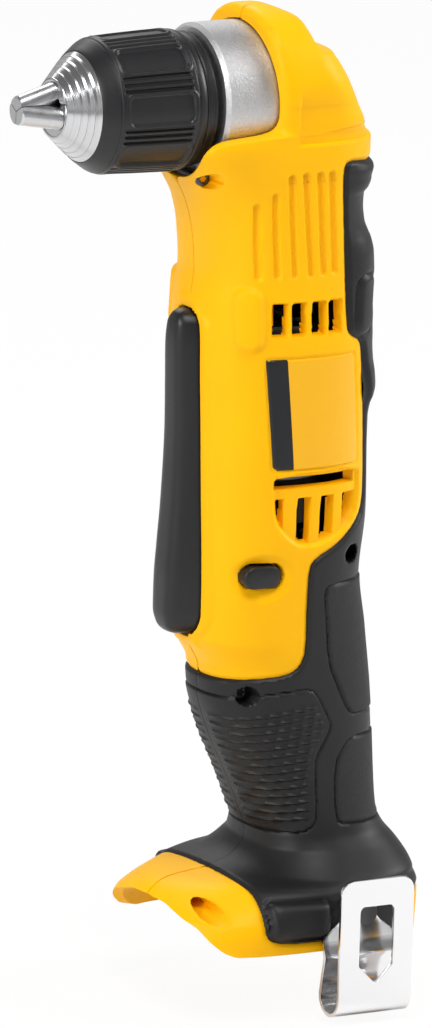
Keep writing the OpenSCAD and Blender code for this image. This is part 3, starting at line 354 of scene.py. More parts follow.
# trigger and reverse button first, because the moulded body leaves room for them

trigger = dict(top=-65.6, low=-167.4, gap=0.55, rowCount=150, columns=61, skirtColumns=4,
               # depth, crown, half width
               rows=[(-167.4, 31.5, 3.2), (-166.6, 33.4, 5.6), (-164.6, 35, 8), (-160, 35.9, 9.8),
                     (-150, 35.8, 10.1), (-140, 35.2, 9.9), (-125, 34.3, 9.3), (-105, 33.8, 8.6),
                     (-88, 34.2, 8.2), (-76, 34.5, 8), (-70, 34.1, 7.4), (-67.4, 33.2, 5.8),
                     (-66, 31.8, 3.6), (-65.6, 30.8, 2.4)],
               # how the crown falls to its edge, and where the skirt starts and ends inside
               dip=0.25, dipPower=1.5, edge=25.4, edgePower=4.2, skirt=(23.2, 25.0))
triggerRows = np.array(trigger["rows"])
button = dict(centre=(13.0, -146.6), straight=2.9, radius=3.55, gap=0.4, reach=24.9, steps=96,
              # share of the outline, height over the reach: crowned end, side, narrow middle
              crown=[(0.001, 0.25), (0.3, 0.2), (0.62, 0.02), (0.78, -0.02), (0.84, -0.12), (0.95, -0.35),
                     (0.99, -0.7), (1.0, -1.2), (1.0, -10), (0.45, -11)])


def triggerHalf(z):
    return curveThrough(z, triggerRows[:, 0], triggerRows[:, 2])


# moulded body: one skin for both colours, worked as a height over a smooth surface

skin = dict(
    rowStep=0.55, columns=176, wallColumns=14, mouthColumn=18, fineRows=16000, sideWeight=0.8,
    thinnest=0.02,
    # collar bore, and the rounding of its lip: passes, share moved, columns before and after, half height
    bore=23.4, boreDepth=7.0, lipPasses=16, lipMove=0.8, lipColumns=(5, 7), lipHalf=26.5,
    headRadius=27.8, headSquare=2.3,
    # middle of a section: how far back and forward it may lie, and where the hood lets it go forward
    middleBack=-20, middleFore=9, hoodZ=(15, 22),
    # trigger's mouth: angles to try, least half width and angle, where its column goes back to even steps
    mouthTry=(0.02, 0.9, 900), mouthLeast=7, mouthAngle=0.05, mouthFade=(14, 4), mouthTuck=0.03,
    # groove along the seam: depth, the head's open stretch, and how much shallower it is above the grip
    seamDepth=0.28, seamOpen=(-24, 23.6), seamCut=0.65, seamGrip=(-180, -160),
    footLow=-263.2, archTop=-246.5,
    # the foot's lower edge: angle from straight ahead, depth
    arch=[(0, -249.8), (.235, -250.4), (.355, -251.6), (.495, -253.3), (.594, -254.6), (.65, -255.9),
          (.757, -259.6), (.84, -262.1), (.92, -263.1), (3.2, -263.2)],
    # depth, front, rear, half width, squareness ahead and behind
    stations=[
        (-263.2, 38.4, 45.2, 38.6, 3.6, 4), (-258, 39, 45.5, 38.9, 3.4, 4), (-254, 39, 45.8, 38.8, 2.9, 4),
        (-251.8, 38.3, 46, 38.6, 2.5, 4), (-249.8, 37.1, 46.1, 38.3, 2.2, 4),
        (-248.6, 36.1, 46.2, 37.9, 2.05, 4), (-247.1, 34.5, 46.2, 37.2, 1.92, 3.9),
        (-245.7, 32.2, 46.2, 36.6, 1.82, 3.7), (-245, 30, 46.1, 36, 1.82, 3.6),
        (-244.4, 27, 46, 35.5, 1.85, 3.5), (-243.8, 22, 45.9, 34.9, 1.9, 3.4),
        (-243, 15.6, 45.8, 34.2, 2, 3.4), (-241.8, 10.8, 45.6, 33.2, 2.2, 3.3),
        (-239.9, 7, 45.2, 31.4, 2.4, 3.1), (-237.7, 4.5, 44.3, 29.3, 2.5, 2.9), (-235, 2.9, 42.6, 26.8, 2.5, 2.8),
        (-230.8, 2.8, 39.4, 24.2, 2.5, 2.6), (-225, 4.9, 37.1, 23, 2.4, 2.4),
        (-214.9, 9.3, 36.4, 22.5, 2.4, 2.4), (-200, 16.4, 35.7, 22.5, 2.4, 2.4),
        (-186, 20.9, 34.5, 22.8, 2.4, 2.4), (-178, 21.7, 33.3, 23.4, 2.4, 2.4),
        (-172.7, 24.3, 32.5, 24, 2.5, 2.4), (-168.2, 26.7, 31.9, 24.4, 2.6, 2.4),
        (-149.5, 27.4, 28.9, 25.8, 2.6, 2.4), (-129.9, 27.5, 30.3, 27.2, 2.6, 2.4),
        (-105, 27.7, 29.6, 28, 2.6, 2.4), (-74.8, 28.4, 30, 27.6, 2.6, 2.4),
        (-62.3, 28, 28.4, 27.4, 2.5, 2.4), (-53.4, 26.9, 27.5, 27.2, 2.5, 2.4),
        (-41.8, 27.9, 26.4, 27.2, 2.5, 2.4), (-32.9, 30.1, 25.5, 27.2, 2.5, 2.4),
        (-24.9, 34.1, 25.7, 27.2, 2.7, 2.4), (-21.5, 36.3, 27.3, 27.3, 2.9, 2.4),
        (-19, 38, 28.3, 27.3, 3.1, 2.4), (-16.5, 39.3, 28.5, 27.4, 3.4, 2.4),
        (-14.3, 40, 28.5, 27.4, 3.8, 2.4), (-12, 39.8, 28.45, 27.5, 4.1, 2.4),
        (-10.3, 38.2, 28.25, 27.5, 4.3, 2.4), (-9.5, 35, 27.9, 27.5, 4.6, 2.4),
        (-9, 29.5, 27.6, 27.6, 5, 2.4), (-8.5, 22, 27.3, 27.6, 5.4, 2.4), (-7.4, 15.8, 26.7, 27.6, 6, 2.4),
        (-5.5, 13.5, 25.9, 27.7, 6.5, 2.4), (5, 13.2, 18.9, 27.4, 7, 2.4), (14.2, 13.2, 12.3, 23.9, 7, 2.6),
        (15.2, 13.2, 11.2, 23.3, 7, 2.8), (16.2, 13.2, 5.2, 22.6, 7, 4), (20.9, 13.2, 3.7, 18.4, 7, 3.4),
        (23, 13.2, 3.3, 15, 7, 3), (24.7, 13.1, 2.2, 12.3, 6, 3), (26.2, 12.6, -.8, 8, 6, 3),
        (27.2, 11.8, -3.6, 5, 6, 3), (27.8, 9.6, -6.5, 0.02, 6, 3)])
stationRows = np.array(skin["stations"])
archRows = np.array(skin["arch"])


def section(z):
    # sizes of the body at a depth, and its middle; above the axis the half width is the head's own round
    depths, *columns = stationRows.T
    front, rear, width, ahead, behind = (curveThrough(z, depths, column) for column in columns)
    power = skin["headSquare"]
    rise = np.clip(z / skin["headRadius"], 0, 1)
    width = np.where(z > 0, skin["headRadius"] * (1 - rise ** power) ** (1 / power), width)
    foremost = skin["middleFore"] * smoothStep(*skin["hoodZ"], z)
    middle = np.clip((front - rear) / 2, skin["middleBack"], foremost)
    return front, rear, width, ahead, behind, middle


def skinAt(z, a):
    # polar superellipse round the section's middle: (|cos/depth|^n + |sin/width|^n)^(-1/n)
    front, rear, width, ahead, behind, middle = section(z)
    fore = np.cos(a) > 0
    depth = np.where(fore, front - middle, rear + middle)
    n = np.where(fore, ahead, behind)
    across = np.maximum(width, skin["thinnest"])
    r = ((np.abs(np.cos(a)) / depth) ** n + (np.abs(np.sin(a)) / across) ** n) ** (-1 / n)
    return middle + r * np.cos(a), r * np.sin(a)


def boreHalf(z):
    # half width of the collar bore at a height: root of radius squared less height squared
    return np.sqrt(np.maximum(skin["bore"] ** 2 - z * z, 0))


def rowDepths():
    # row depths, evenly spaced by the largest change in depth, front, rear, half width or bore
    fineZ = np.linspace(skin["footLow"], skin["headRadius"], skin["fineRows"])
    front, rear, width = section(fineZ)[:3]
    sides = skin["sideWeight"] * np.stack([front, rear])
    lines = np.stack([fineZ, *sides, width, boreHalf(fineZ)])
    length = np.concatenate([[0], np.cumsum(np.max(np.abs(np.diff(lines, axis=1)), axis=0))])
    return np.interp(np.linspace(0, length[-1], int(length[-1] / skin["rowStep"])), length, fineZ)


def lipAngles(z, half):
    # angle at which a row leaves the bore's lip, 0 where the bore does not reach
    front, rear, width, ahead, behind, middle = section(z)
    inside = np.minimum(half / np.maximum(width, skin["thinnest"]), 1)
    lipX = (front - middle) * np.maximum(1 - inside ** ahead, 0) ** (1 / ahead)
    return np.where(half > 0, np.arctan2(half, np.maximum(lipX, 1e-6)), 0)


def mouthAngles(z, t):
    # angles of a row without bore: one column follows the edge of the trigger's mouth, found where the skin
    # is that wide, and the others share out what is before and behind it
    k = skin["mouthColumn"]
    tries = np.linspace(*skin["mouthTry"])[None, :]
    wideAt = skinAt(z[:, None] + 0 * tries, tries + 0 * z[:, None])[1]
    want = np.maximum(triggerHalf(z) + trigger["gap"], skin["mouthLeast"])
    found = tries[0, np.argmin(np.abs(wideAt - want[:, None]), axis=1)]
    begin, end = skin["mouthFade"]
    share = (smoothStep(trigger["low"] - begin, trigger["low"] - end, z)
             * smoothStep(trigger["top"] + begin, trigger["top"] + end, z))
    even = np.pi * t[k]
    edge = even + (np.maximum(found, skin["mouthAngle"]) - even) * share
    last = edge * (1 - skin["mouthTuck"] * share) - np.pi * (t[k] - t[k - 1]) * (1 - share)
    before = np.linspace(0, 1, k)[None, :] * last[:, None]
    behind = edge[:, None] + (np.pi - edge[:, None]) * (t[k:] - t[k]) / (1 - t[k])
    return np.concatenate([before, behind], 1)


def skinGrid():
    # each row starts on the wall of the collar bore, folds over its lip and runs round to the rear seam
    z = rowDepths()
    half = boreHalf(z)
    start = lipAngles(z, half)[:, None]
    t = np.linspace(0, 1, skin["columns"])
    a = np.where(start > 0, start + (np.pi - start) * t, mouthAngles(z, t))
    # below the arch's top a row drops only as far as the foot's lower edge at its angle
    low = z[:, None] - skin["archTop"]
    drop = (curveThrough(a, *archRows.T) - skin["archTop"]) / (skin["footLow"] - skin["archTop"])
    depth = np.where(low < 0, skin["archTop"] + low * drop, z[:, None] + 0 * a)
    x, y = skinAt(depth, a)
    y[:, -1] = 0
    y[half == 0, 0] = 0
    k = skin["wallColumns"]
    inner = np.where(half > 0, skin["boreDepth"], x[:, 0])
    wallX = inner[:, None] + (x[:, :1] - inner[:, None]) * np.linspace(0, 1, k, endpoint=False)
    p = np.stack([np.concatenate([wallX, x], 1), np.concatenate([np.repeat(y[:, :1], k, 1), y], 1),
                  np.concatenate([np.repeat(depth[:, :1], k, 1), depth], 1)], -1)
    zone = np.zeros(p.shape[:2])
    zone[:, k - skin["lipColumns"][0]:k + skin["lipColumns"][1]] = (np.abs(z) < skin["lipHalf"])[:, None]
    zone = skin["lipMove"] * zone[1:-1, 1:-1, None]
    for _ in range(skin["lipPasses"]):  # rounds the lip: points move toward the mean of their four neighbours
        mean = (p[2:, 1:-1] + p[:-2, 1:-1] + p[1:-1, 2:] + p[1:-1, :-2]) / 4
        p[1:-1, 1:-1] = p[1:-1, 1:-1] * (1 - zone) + mean * zone
    p[half == 0, :k + 1, 1] = 0
    return p


base = skinGrid()
normal = np.cross(np.gradient(base, axis=1), np.gradient(base, axis=0))
size = np.linalg.norm(normal, axis=-1, keepdims=True)
normal = np.where(size > 1e-9, normal / np.maximum(size, 1e-9), 0)
skinX, skinY, skinZ = base[..., 0], base[..., 1], base[..., 2]
print("skin grid", base.shape)

soft = dict(
    proud=0.5, edgeSink=1.9, edgeOpen=1.1, seamShare=0.4,
    outline=roundOff([
        (-60, -19.2), (-24, -18.6), (-17.3, -17.3), (-13, -16.8), (-10.6, -17.6), (-10.3, -22.3), (-12, -48.4),
        (-13.2, -69), (-14.5, -71.4), (-19.4, -73.6), (-20.6, -78), (-23.1, -99.2), (-24.4, -122),
        (-23, -128.6), (-19.6, -132.4), (-12.5, -137.6), (-4.4, -141.2), (-2.2, -144), (-2.2, -156),
        (-3, -171), (-1.6, -176), (2.4, -178.6), (12, -179.8), (22, -180.8), (60, -181), (60, -229), (24, -236),
        (18.4, -240), (16, -242.8), (15.7, -246.8), (16, -250.1), (16.2, -254.2), (15.6, -258), (13, -260),
        (3, -260.9), (-36, -260.9), (-38.2, -258.6), (-39.6, -250.5), (-41, -248), (-60, -247.4)]),
    # bulges down the back: depth and height, the height that is level, and where they start
    bulge=[(-264, .4), (-130, .4), (-100, .5), (-95.5, 1.1), (-93, 2), (-90, 2.5), (-86, 2.2), (-81, 1.4),
           (-76, 1.1), (-72, 1.1), (-67, 1.6), (-62, 2), (-57, 2.4), (-53, 3), (-48, 3.1), (-43.5, 2.4),
           (-41, 1.5), (-38, .7), (-33, .5), (-28.6, .7), (-26.4, 2.1), (-24, 2.7), (-20.5, 2.2), (-17.5, .6),
           (28, .4)],
    bulgeLevel=0.4, bulgeX=(-10, -20),
    # ribbed panel: outline, height, groove round it and where that ends; ribs count down from the first
    panel=roundOff([
        (40, -188.2), (15.8, -186), (10, -185), (-4, -183.4), (-7.7, -184.9), (-12.5, -193.7), (-13.4, -196.1),
        (-10.9, -201.3), (-8.5, -205), (-8.4, -211.1), (-9.6, -225), (-7.7, -229.1), (-2.1, -230.6),
        (40, -232)]),
    panelRise=0.3, panelLine=0.55, panelLow=-236, ribFirst=-191.2, ribPitch=2.72, ribLast=13, ribRise=0.55,
    ribSlope=0.15, ribX=5,
    # coarse pads behind the panel
    padUp=roundOff([
        (-8.1, -152.4), (-10.4, -150.2), (-60, -149.6), (-60, -194), (-22.8, -193.8), (-19.6, -192),
        (-15.6, -184.1), (-11.2, -175.2), (-9.4, -161)]),
    padLow=roundOff([
        (-60, -200.2), (-22, -200.4), (-18.4, -203), (-15.2, -208.7), (-15.9, -226), (-18.3, -228.2),
        (-60, -227.6)]),
    padRise=0.35, padLine=0.5,
    # raised oval at the back and bumper on the foot: centre, half sizes and corner; heights and grooves
    oval=(-19.6, -62.6, 4.2, 9.6, 4.1), ovalRise=0.9, ovalLine=0.45,
    bumper=(4.0, -253.4, 10, 5.2, 2.2), bumperRise=1.9, bumperLine=0.5, bumperLineAt=0.5,
    bumperInner=(4.0, -253.4, 7.6, 3.2, 1.2), innerRise=0.25)
# moulded lines sit a little lower on the upper part than the skin's depth says, and higher on the foot
lineShift = [(-264, -.5), (-250, -.5), (-225, 0), (-185, .2), (-140, .3), (-113, .4), (-78, 1), (-60, .95),
             (-20, 1.1), (28, 1.1)]
lineZ = skinZ + curveThrough(skinZ, *np.array(lineShift).T)
softEdge = outlineDistance(skinX, lineZ, soft["outline"])

label = dict(front=13.3, rear=-17.9, top=-78.1, low=-112.8, lean=3.0, lift=0.12, stripe=6.6,
             corner=2.4, tuck=0.6, columns=90, rows=80,
             # its recess: centre, half sizes, corner; depth, and the height over which the lean builds up
             recess=(-2.3, -95.5, 16.1, 17.9, 1.4), recessDeep=0.45, leanOver=35)
vents = dict(centres=(10.9, 4.6, -2.2, -8.2), half=2.25, low=-69.9, high=-59.9, corner=0.5, deep=3.2,
             open=0.2)
grille = dict(slot=(-4, -116.8, 15, 1.7, 0.5), sink=1.3, deep=3.0, open=0.2, border=0.9, barsTop=-122.2,
              frame=roundOff([(11.4, -114), (-20.4, -113.2), (-21, -122), (-19.2, -130), (-12.4, -134.9),
                              (-3.6, -137.6), (2.4, -136.9), (7.3, -133.2), (10.6, -128), (11.2, -122)]),
              bars=((7.9, 2.5), (-1.8, -5.9), (-10.4, -14.7)))
hard = dict(
    # grooves on the head: upper and lower ends, half width, depth
    grooveTops=[(18.6, -29.6), (13.5, -26.2), (8.6, -20.6), (3.7, -20.2), (-1.2, -20.2), (-5.4, -20.2)],
    grooveLows=[(17.1, -51.6), (11.8, -51.2), (6.3, -51.2), (0.9, -51.1), (-3.5, -50.8), (-7.5, -50.5)],
    grooveHalf=1.0, grooveDeep=1.1,
    # boss over the trigger: centre, half sizes, corner; height
    boss=(19.4, -64.8, 4.0, 10, 3.6), bossRise=1.9,
    # side panel's step: depth, front edge, lower edge, and where it runs out above
    stepDeep=1.5, stepFront=(6.8, 5.9), stepLow=(-11.1, -10.2), stepTop=(9, -3),
    # dish round the reverse button, and the button's own hole
    dish=(12.6, -146.9), dishHalf=(9.4, 7.6), dishMean=8, dishDeep=1.5, holeDeep=4, holeOpen=0.8,
    # small pin hole by the front seam
    pin=(30.6, 5.4, -35.4), pinRadius=1.05, pinDeep=1.4,
    # trigger's mouth: how far forward it counts, room past the trigger's ends, depth, and the rim round it
    mouthX=8, mouthRoom=0.5, mouthDeep=6.5, mouthOpen=0.5, rimRise=0.9, rimLow=(-182, -176),
    # along the soft grip: groove, and the bed under its edge
    softGroove=0.5, softBed=1.4, softOpen=2.2)
# pockets along Y: centre, radius, depth of the floor from the middle
screwHoles = dict(head=(31.5, -22.8, 2.75, 12.2), grip=(13.2, -185.4, 2.95, 12), rear=(-18.8, -142.1, 2.9, 13),
                  foot=(29.0, -250.7, 3.2, 9))
insertSeat = (-17, -251.6, 3.5, 37.4)
pocket = dict(flare=0.03, rearEnd=-28, clearColumns=8)


def yellowWork(left):
    # height over the skin for the hard moulding, and the points that are open
    x, y, z = skinX, skinY, skinZ
    h = np.zeros_like(x)
    gone = np.zeros(x.shape, bool)
    for upper, lower in zip(hard["grooveTops"], hard["grooveLows"]):
        groove = lineDistance(x, lineZ, upper, lower, hard["grooveHalf"])
        h -= hard["grooveDeep"] * smoothStep(0.35, -0.6, groove)
    boss = boxDistance(x, lineZ, *hard["boss"])
    h += hard["bossRise"] * smoothStep(0.5, -1.9, boss) * (x > 0)
    h -= (hard["stepDeep"] * smoothStep(*hard["stepFront"], x) * smoothStep(*hard["stepLow"], lineZ)
          * smoothStep(*hard["stepTop"], lineZ))
    for centre in vents["centres"]:
        vent = boxDistance(x, lineZ, centre, (vents["low"] + vents["high"]) / 2, vents["half"],
                           (vents["high"] - vents["low"]) / 2, vents["corner"])
        h -= vents["deep"] * smoothStep(0.3, -0.3, vent)
        gone |= vent < -vents["open"]
    field = outlineDistance(x, lineZ, grille["frame"])
    h -= grille["sink"] * smoothStep(0.5, -0.6, field)
    slot = boxDistance(x, lineZ, *grille["slot"])
    lowPart = np.maximum(field + grille["border"], lineZ - grille["barsTop"])
    bars = np.min([np.abs(x - (a + b) / 2) - abs(a - b) / 2 for a, b in grille["bars"]], axis=0)
    opening = np.minimum(slot, np.maximum(lowPart, -bars))
    h -= grille["deep"] * smoothStep(0.3, -0.3, opening)
    gone |= opening < -grille["open"]
    (dishX, dishZ), (dishHalfX, dishHalfZ) = hard["dish"], hard["dishHalf"]
    ring = (np.hypot((x - dishX) / dishHalfX, (z - dishZ) / dishHalfZ) - 1) * hard["dishMean"]
    h -= hard["dishDeep"] * smoothStep(0.6, -3.4, ring)
    (holeX, holeZ), reach, radius = button["centre"], button["straight"], button["radius"] + button["gap"]
    hole = lineDistance(x, z, (holeX - reach, holeZ), (holeX + reach, holeZ), radius)
    h -= hard["holeDeep"] * smoothStep(0.2, -0.4, hole)
    gone |= hole < -hard["holeOpen"]
    if left:
        pin = np.linalg.norm(base - hard["pin"], axis=-1) - hard["pinRadius"]
        h -= hard["pinDeep"] * smoothStep(0.2, -0.5, pin)
        lean = label["lean"] * (z - label["recess"][1]) / label["leanOver"]
        h -= label["recessDeep"] * smoothStep(0.4, -0.1, boxDistance(x - lean, z, *label["recess"]))
    mouth = np.maximum(np.abs(y) - triggerHalf(z) - trigger["gap"],
                       np.maximum(z - trigger["top"], trigger["low"] - z) - hard["mouthRoom"])
    mouth = np.where(x > hard["mouthX"], mouth, np.inf)
    h += hard["rimRise"] * smoothStep(4.6, 1.8, mouth) * smoothStep(*hard["rimLow"], z)
    h -= hard["mouthDeep"] * smoothStep(-0.03, -0.26, mouth)
    gone |= mouth < -hard["mouthOpen"]
    h -= (hard["softGroove"] * smoothStep(1.1, 0.1, softEdge)
          + hard["softBed"] * smoothStep(0.1, -1.2, softEdge))
    gone |= softEdge < -hard["softOpen"]
    seamLow, seamHigh = skin["seamOpen"]
    seam = smoothStep(0.5, 0.1, np.abs(y)) * ((z < seamLow) | (z > seamHigh) | (x < 0))
    h -= skin["seamDepth"] * seam * (1 - skin["seamCut"] * smoothStep(*skin["seamGrip"], z))
    return h, gone


def softWork():
    # height over the skin for the rubber, the points that are open, and the marks of its coarse pads
    x, y, z = skinX, skinY, lineZ
    rise = curveThrough(z, *np.array(soft["bulge"]).T) - soft["bulgeLevel"]
    h = soft["proud"] + np.maximum(rise, 0) * smoothStep(*soft["bulgeX"], x)
    panel = outlineDistance(x, z, soft["panel"])
    groove = smoothStep(0.55, 0.1, np.abs(panel)) * (z > soft["panelLow"])
    h += soft["panelRise"] * smoothStep(0.2, -0.5, panel) - soft["panelLine"] * groove
    slant = z + soft["ribSlope"] * (x - soft["ribX"]) - soft["ribFirst"]
    count = np.clip(np.round(-slant / soft["ribPitch"]), 0, soft["ribLast"])
    rib = np.abs(slant + soft["ribPitch"] * count)
    inset = smoothStep(-1.6, -3.2, panel) * smoothStep(2.0, 4.2, np.abs(y))
    h += soft["ribRise"] * smoothStep(0.62, 0.1, rib) * inset
    grain = np.zeros_like(x)
    for key in ("padUp", "padLow"):
        pad = outlineDistance(x, z, soft[key])
        h += (soft["padRise"] * smoothStep(-0.2, -0.9, pad)
              - soft["padLine"] * smoothStep(0.5, 0.1, np.abs(pad)))
        grain = np.maximum(grain, smoothStep(-0.2, -0.8, pad))
    oval = boxDistance(x, z, *soft["oval"])
    h += (soft["ovalRise"] * smoothStep(-0.1, -2.2, oval)
          - soft["ovalLine"] * smoothStep(0.6, 0.1, np.abs(oval)))
    bumper = boxDistance(x, z, *soft["bumper"])
    h += soft["bumperRise"] * smoothStep(0.4, -1.6, bumper)
    h -= soft["bumperLine"] * smoothStep(0.7, 0.1, np.abs(bumper - soft["bumperLineAt"]))
    h += soft["innerRise"] * smoothStep(0.3, -0.3, boxDistance(x, z, *soft["bumperInner"]))
    h -= soft["edgeSink"] * smoothStep(-1.2, 0.6, softEdge)
    h -= soft["seamShare"] * skin["seamDepth"] * smoothStep(0.5, 0.1, np.abs(y))
    return h, softEdge > soft["edgeOpen"], grain


def faceKeep(gone):
    # a face stays while any of its corners does
    return ~(gone[:-1, :-1] & gone[:-1, 1:] & gone[1:, 1:] & gone[1:, :-1])


def worked(h, spots):
    # the skin raised by h along its normals; points inside each round pocket then sink straight in to its
    # flat floor, with a small flare at the rim
    p = base + normal * h[..., None]
    free = np.arange(p.shape[1]) > skin["wallColumns"] + pocket["clearColumns"]
    for cx, cz, radius, floor in spots:
        d = np.hypot(skinX - cx, skinZ - cz) - radius
        flare = pocket["flare"] * smoothStep(1.1, 0.05, d) * smoothStep(-0.6, 0.05, d)
        share = smoothStep(0.05, -0.55, d) * (skinX > pocket["rearEnd"]) + flare
        p[..., 1] += (np.minimum(p[..., 1], floor) - p[..., 1]) * np.where(free, share, 0)
    return p


bay = dict(middle=-3, flatHalf=10, rim=2.4, roof=9, roofRise=1, roofLow=-249.6)


def bayInside(outer):
    # inside of the foot: roof, wall and rim of the battery bay, each the foot's bottom edge moved in
    edge = outer[0, skin["wallColumns"]:]
    fore, side, flat = edge[:, 0] - bay["middle"], edge[:, 1], np.zeros(len(edge))
    inward = -np.sign(fore) * (np.abs(fore) > bay["flatHalf"])
    rim, roof = (edge + np.stack([inward * by, -np.minimum(by, side), flat], -1)
                 for by in (bay["rim"], bay["roof"]))
    roof[:, 2] = np.maximum(edge[:, 2] + bay["roofRise"], bay["roofLow"])
    return np.stack([roof * [1, 0, 1], roof, rim, edge])


for side in ("left", "right"):
    left = side == "left"
    mirror = np.array([1, 1 if left else -1, 1])
    h, gone = yellowWork(left)
    shell = worked(h, [screwHoles["head"], screwHoles["foot"]] if left else [])
    makePiece("bodyShell" + side.capitalize(), [
        dict(points=shell * mirror, keep=faceKeep(gone), flip=not left),
        dict(points=bayInside(shell) * mirror, flip=not left)],
        "yellow_plastic", "body", ["housing_" + side])
    h, gone, grain = softWork()
    grip = worked(h, [screwHoles["grip"], screwHoles["rear"], insertSeat] if left else [insertSeat])
    makePiece("softGrip" + side.capitalize(), [
        dict(points=grip * mirror, keep=faceKeep(gone), flip=not left, grain=grain)],
        "soft_rubber", "body", ["overmould_" + side])


# case screws: a round head with a six-lobed drive, turned about Y, and its shank into the far half

screws = dict(head=2.35, drive=1.15, lobe=0.2, lobes=6, shank=1.4, end=-8.0, steps=72,
              hidden=(-33.6, -242, 2.5, 10),
              # share of the head's radius, height over the pocket's floor, whether the ring follows the lobes
              rings=[(.001, -.7, 1), (.5, -.7, 1), (.5, .45, 1), (.6, .6, 0), (.8, .55, 0), (.95, .35, 0),
                     (1, .1, 0), (1, -.9, 0), (.6, -.9, 0)])
phi = np.linspace(0, 2 * np.pi, screws["steps"], endpoint=False)
plain = np.ones_like(phi)
lobed = 1 + screws["lobe"] / screws["drive"] * np.cos(screws["lobes"] * phi)
screwParts = []
for cx, cz, _, floor in [*screwHoles.values(), screws["hidden"]]:
    rings = [(share * screws["head"] * (lobed if wavy else plain), floor + up)
             for share, up, wavy in screws["rings"]]
    rings += [(screws["shank"] * plain, screws["end"]), (meshing["tip"] * plain, screws["end"] - 1)]
    rows = [np.stack([cx + r * np.cos(phi), y * plain, cz + r * np.sin(phi)], -1) for r, y in rings]
    screwParts.append(dict(points=np.stack(rows), around=True))
makePiece("caseScrews", screwParts, "dark_screw", "body", ["housing_screws"], sharp=35)


# label plate, bare: a thin sheet laid on the skin, y = width (1 - |x/depth|^n)^(1/n)

u, v = np.linspace(0, 1, label["columns"])[None, :], np.linspace(0, 1, label["rows"])[:, None]
flatX = label["rear"] + (label["front"] - label["rear"]) * u + 0 * v
labelX = flatX + label["lean"] * (v - 0.5)
labelZ = label["low"] + (label["top"] - label["low"]) * v + 0 * u
front, rear, width, ahead, behind, middle = section(labelZ)
depth = np.where(labelX > middle, front - middle, rear + middle)
power = np.where(labelX > middle, ahead, behind)
labelY = width * (1 - (np.abs(labelX - middle) / depth) ** power) ** (1 / power)
edge = boxDistance(flatX, labelZ, (label["front"] + label["rear"]) / 2, (label["top"] + label["low"]) / 2,
                   (label["front"] - label["rear"]) / 2, (label["top"] - label["low"]) / 2, label["corner"])
labelY = labelY + label["lift"] - label["tuck"] * smoothStep(-0.5, 0.0, edge)
stripe = (flatX > label["front"] - label["stripe"]) * 1.0
makePiece("labelPlate", [dict(points=np.stack([labelX, labelY, labelZ], -1), flip=True, grain=stripe)],
          "label", "body", ["label_plate"])


# trigger paddle: crown falls off as two powers of the width, then a skirt goes into the body

z = np.linspace(trigger["low"], trigger["top"], trigger["rowCount"])[:, None]
crown = curveThrough(z, triggerRows[:, 0], triggerRows[:, 1])
half = triggerHalf(z)
s = np.linspace(-1, 1, trigger["columns"])[None, :]
face = (crown - trigger["dip"] * np.abs(s) ** trigger["dipPower"]
        - (crown - trigger["edge"]) * np.abs(s) ** trigger["edgePower"])
skirt = np.linspace(*trigger["skirt"], trigger["skirtColumns"])[None, :] + 0 * half
leftSkirt, rightSkirt = (np.stack([skirt, sign * half + 0 * skirt, z + 0 * skirt], -1) for sign in (-1, 1))
front = np.stack([face, half * s, z + 0 * s], -1)
paddle = np.concatenate([leftSkirt, front, rightSkirt[:, ::-1]], 1)
lowEnd, topEnd = (np.stack([rim, rim * [0, 1, 1] + [trigger["skirt"][0], 0, 0]]) for rim in front[[0, -1]])
makePiece("triggerPaddle", [dict(points=paddle), dict(points=lowEnd, flip=True), dict(points=topEnd)],
          "black_plastic", "trigger", ["trigger"], sharp=50)


# reverse button: a slot outline carried through the body, its ends crowned

a = np.linspace(0, 2 * np.pi, button["steps"], endpoint=False)
outX = button["radius"] * np.cos(a) + np.sign(np.cos(a)) * button["straight"] * (np.abs(np.cos(a)) > 1e-9)
outZ = button["radius"] * np.sin(a)
buttonX, buttonZ = button["centre"]
ends = [(share, button["reach"] + up) for share, up in button["crown"]]
ends += [(share, -y) for share, y in ends[::-1]]
bar = np.stack([np.stack([buttonX + outX * share, y + 0 * a, buttonZ + outZ * share], -1)
                for share, y in ends])
makePiece("reverseButton", [dict(points=bar, around=True)], "black_plastic", "reverse", ["reverse_button"],
          sharp=45)


# chuck sleeve: radius is a profile along the axis, less sunk pads and cut grooves round it

sleeve = dict(groups=8, turn=0.075, padR=21.3, padX=(39.6, 61.8), padHalf=4.6, padRound=1.9, padDeep=0.7,
              padRim=0.22, padRimAt=0.5, grooveX=(40.2, 62.6), grooves=(-2.1, 0.0, 2.1), grooveHalf=0.5,
              grooveDeep=0.85, rows=165, steps=520,
              # turned lines: place, depth, half width
              lines=[(64.4, 0.28, 0.45), (37.9, 0.25, 0.4)],
              # share of the rows, distance along the axis
              spacing=[(0, 35), (.05, 35.3), (.12, 37), (.2, 39.2), (.78, 62.4), (.86, 64.8), (1, 69.3)],
              # distance along the axis, radius
              profile=[(35, 19.9), (35.1, 20.9), (35.7, 21.4), (36.8, 21.65), (38.4, 21.7), (50, 21.45),
                       (60, 21.05), (63.6, 20.85), (64.5, 20.55), (65.2, 20.1), (67, 18.8), (68.6, 17.6),
                       (69.1, 17.15), (69.3, 16.95)],
              inside=[(69.3, 16.9), (61.0, 16.9), (60.8, 19.75), (35.0, 19.75)])
profileX = np.interp(np.linspace(0, 1, sleeve["rows"]), *np.array(sleeve["spacing"]).T)
profileR = curveThrough(profileX, *np.array(sleeve["profile"]).T)
phi = np.linspace(0, 2 * np.pi, sleeve["steps"], endpoint=False)
local = ((phi + sleeve["turn"]) * sleeve["groups"] / (2 * np.pi)) % 1
arcStep = 2 * np.pi * sleeve["padR"] / sleeve["groups"]
gridX = profileX[:, None] + 0 * phi
padS = np.minimum(local, 1 - local) * arcStep + 0 * gridX
grooveS = (local - 0.5) * arcStep + 0 * gridX
(padRear, padFront), (grooveRear, grooveFront) = sleeve["padX"], sleeve["grooveX"]
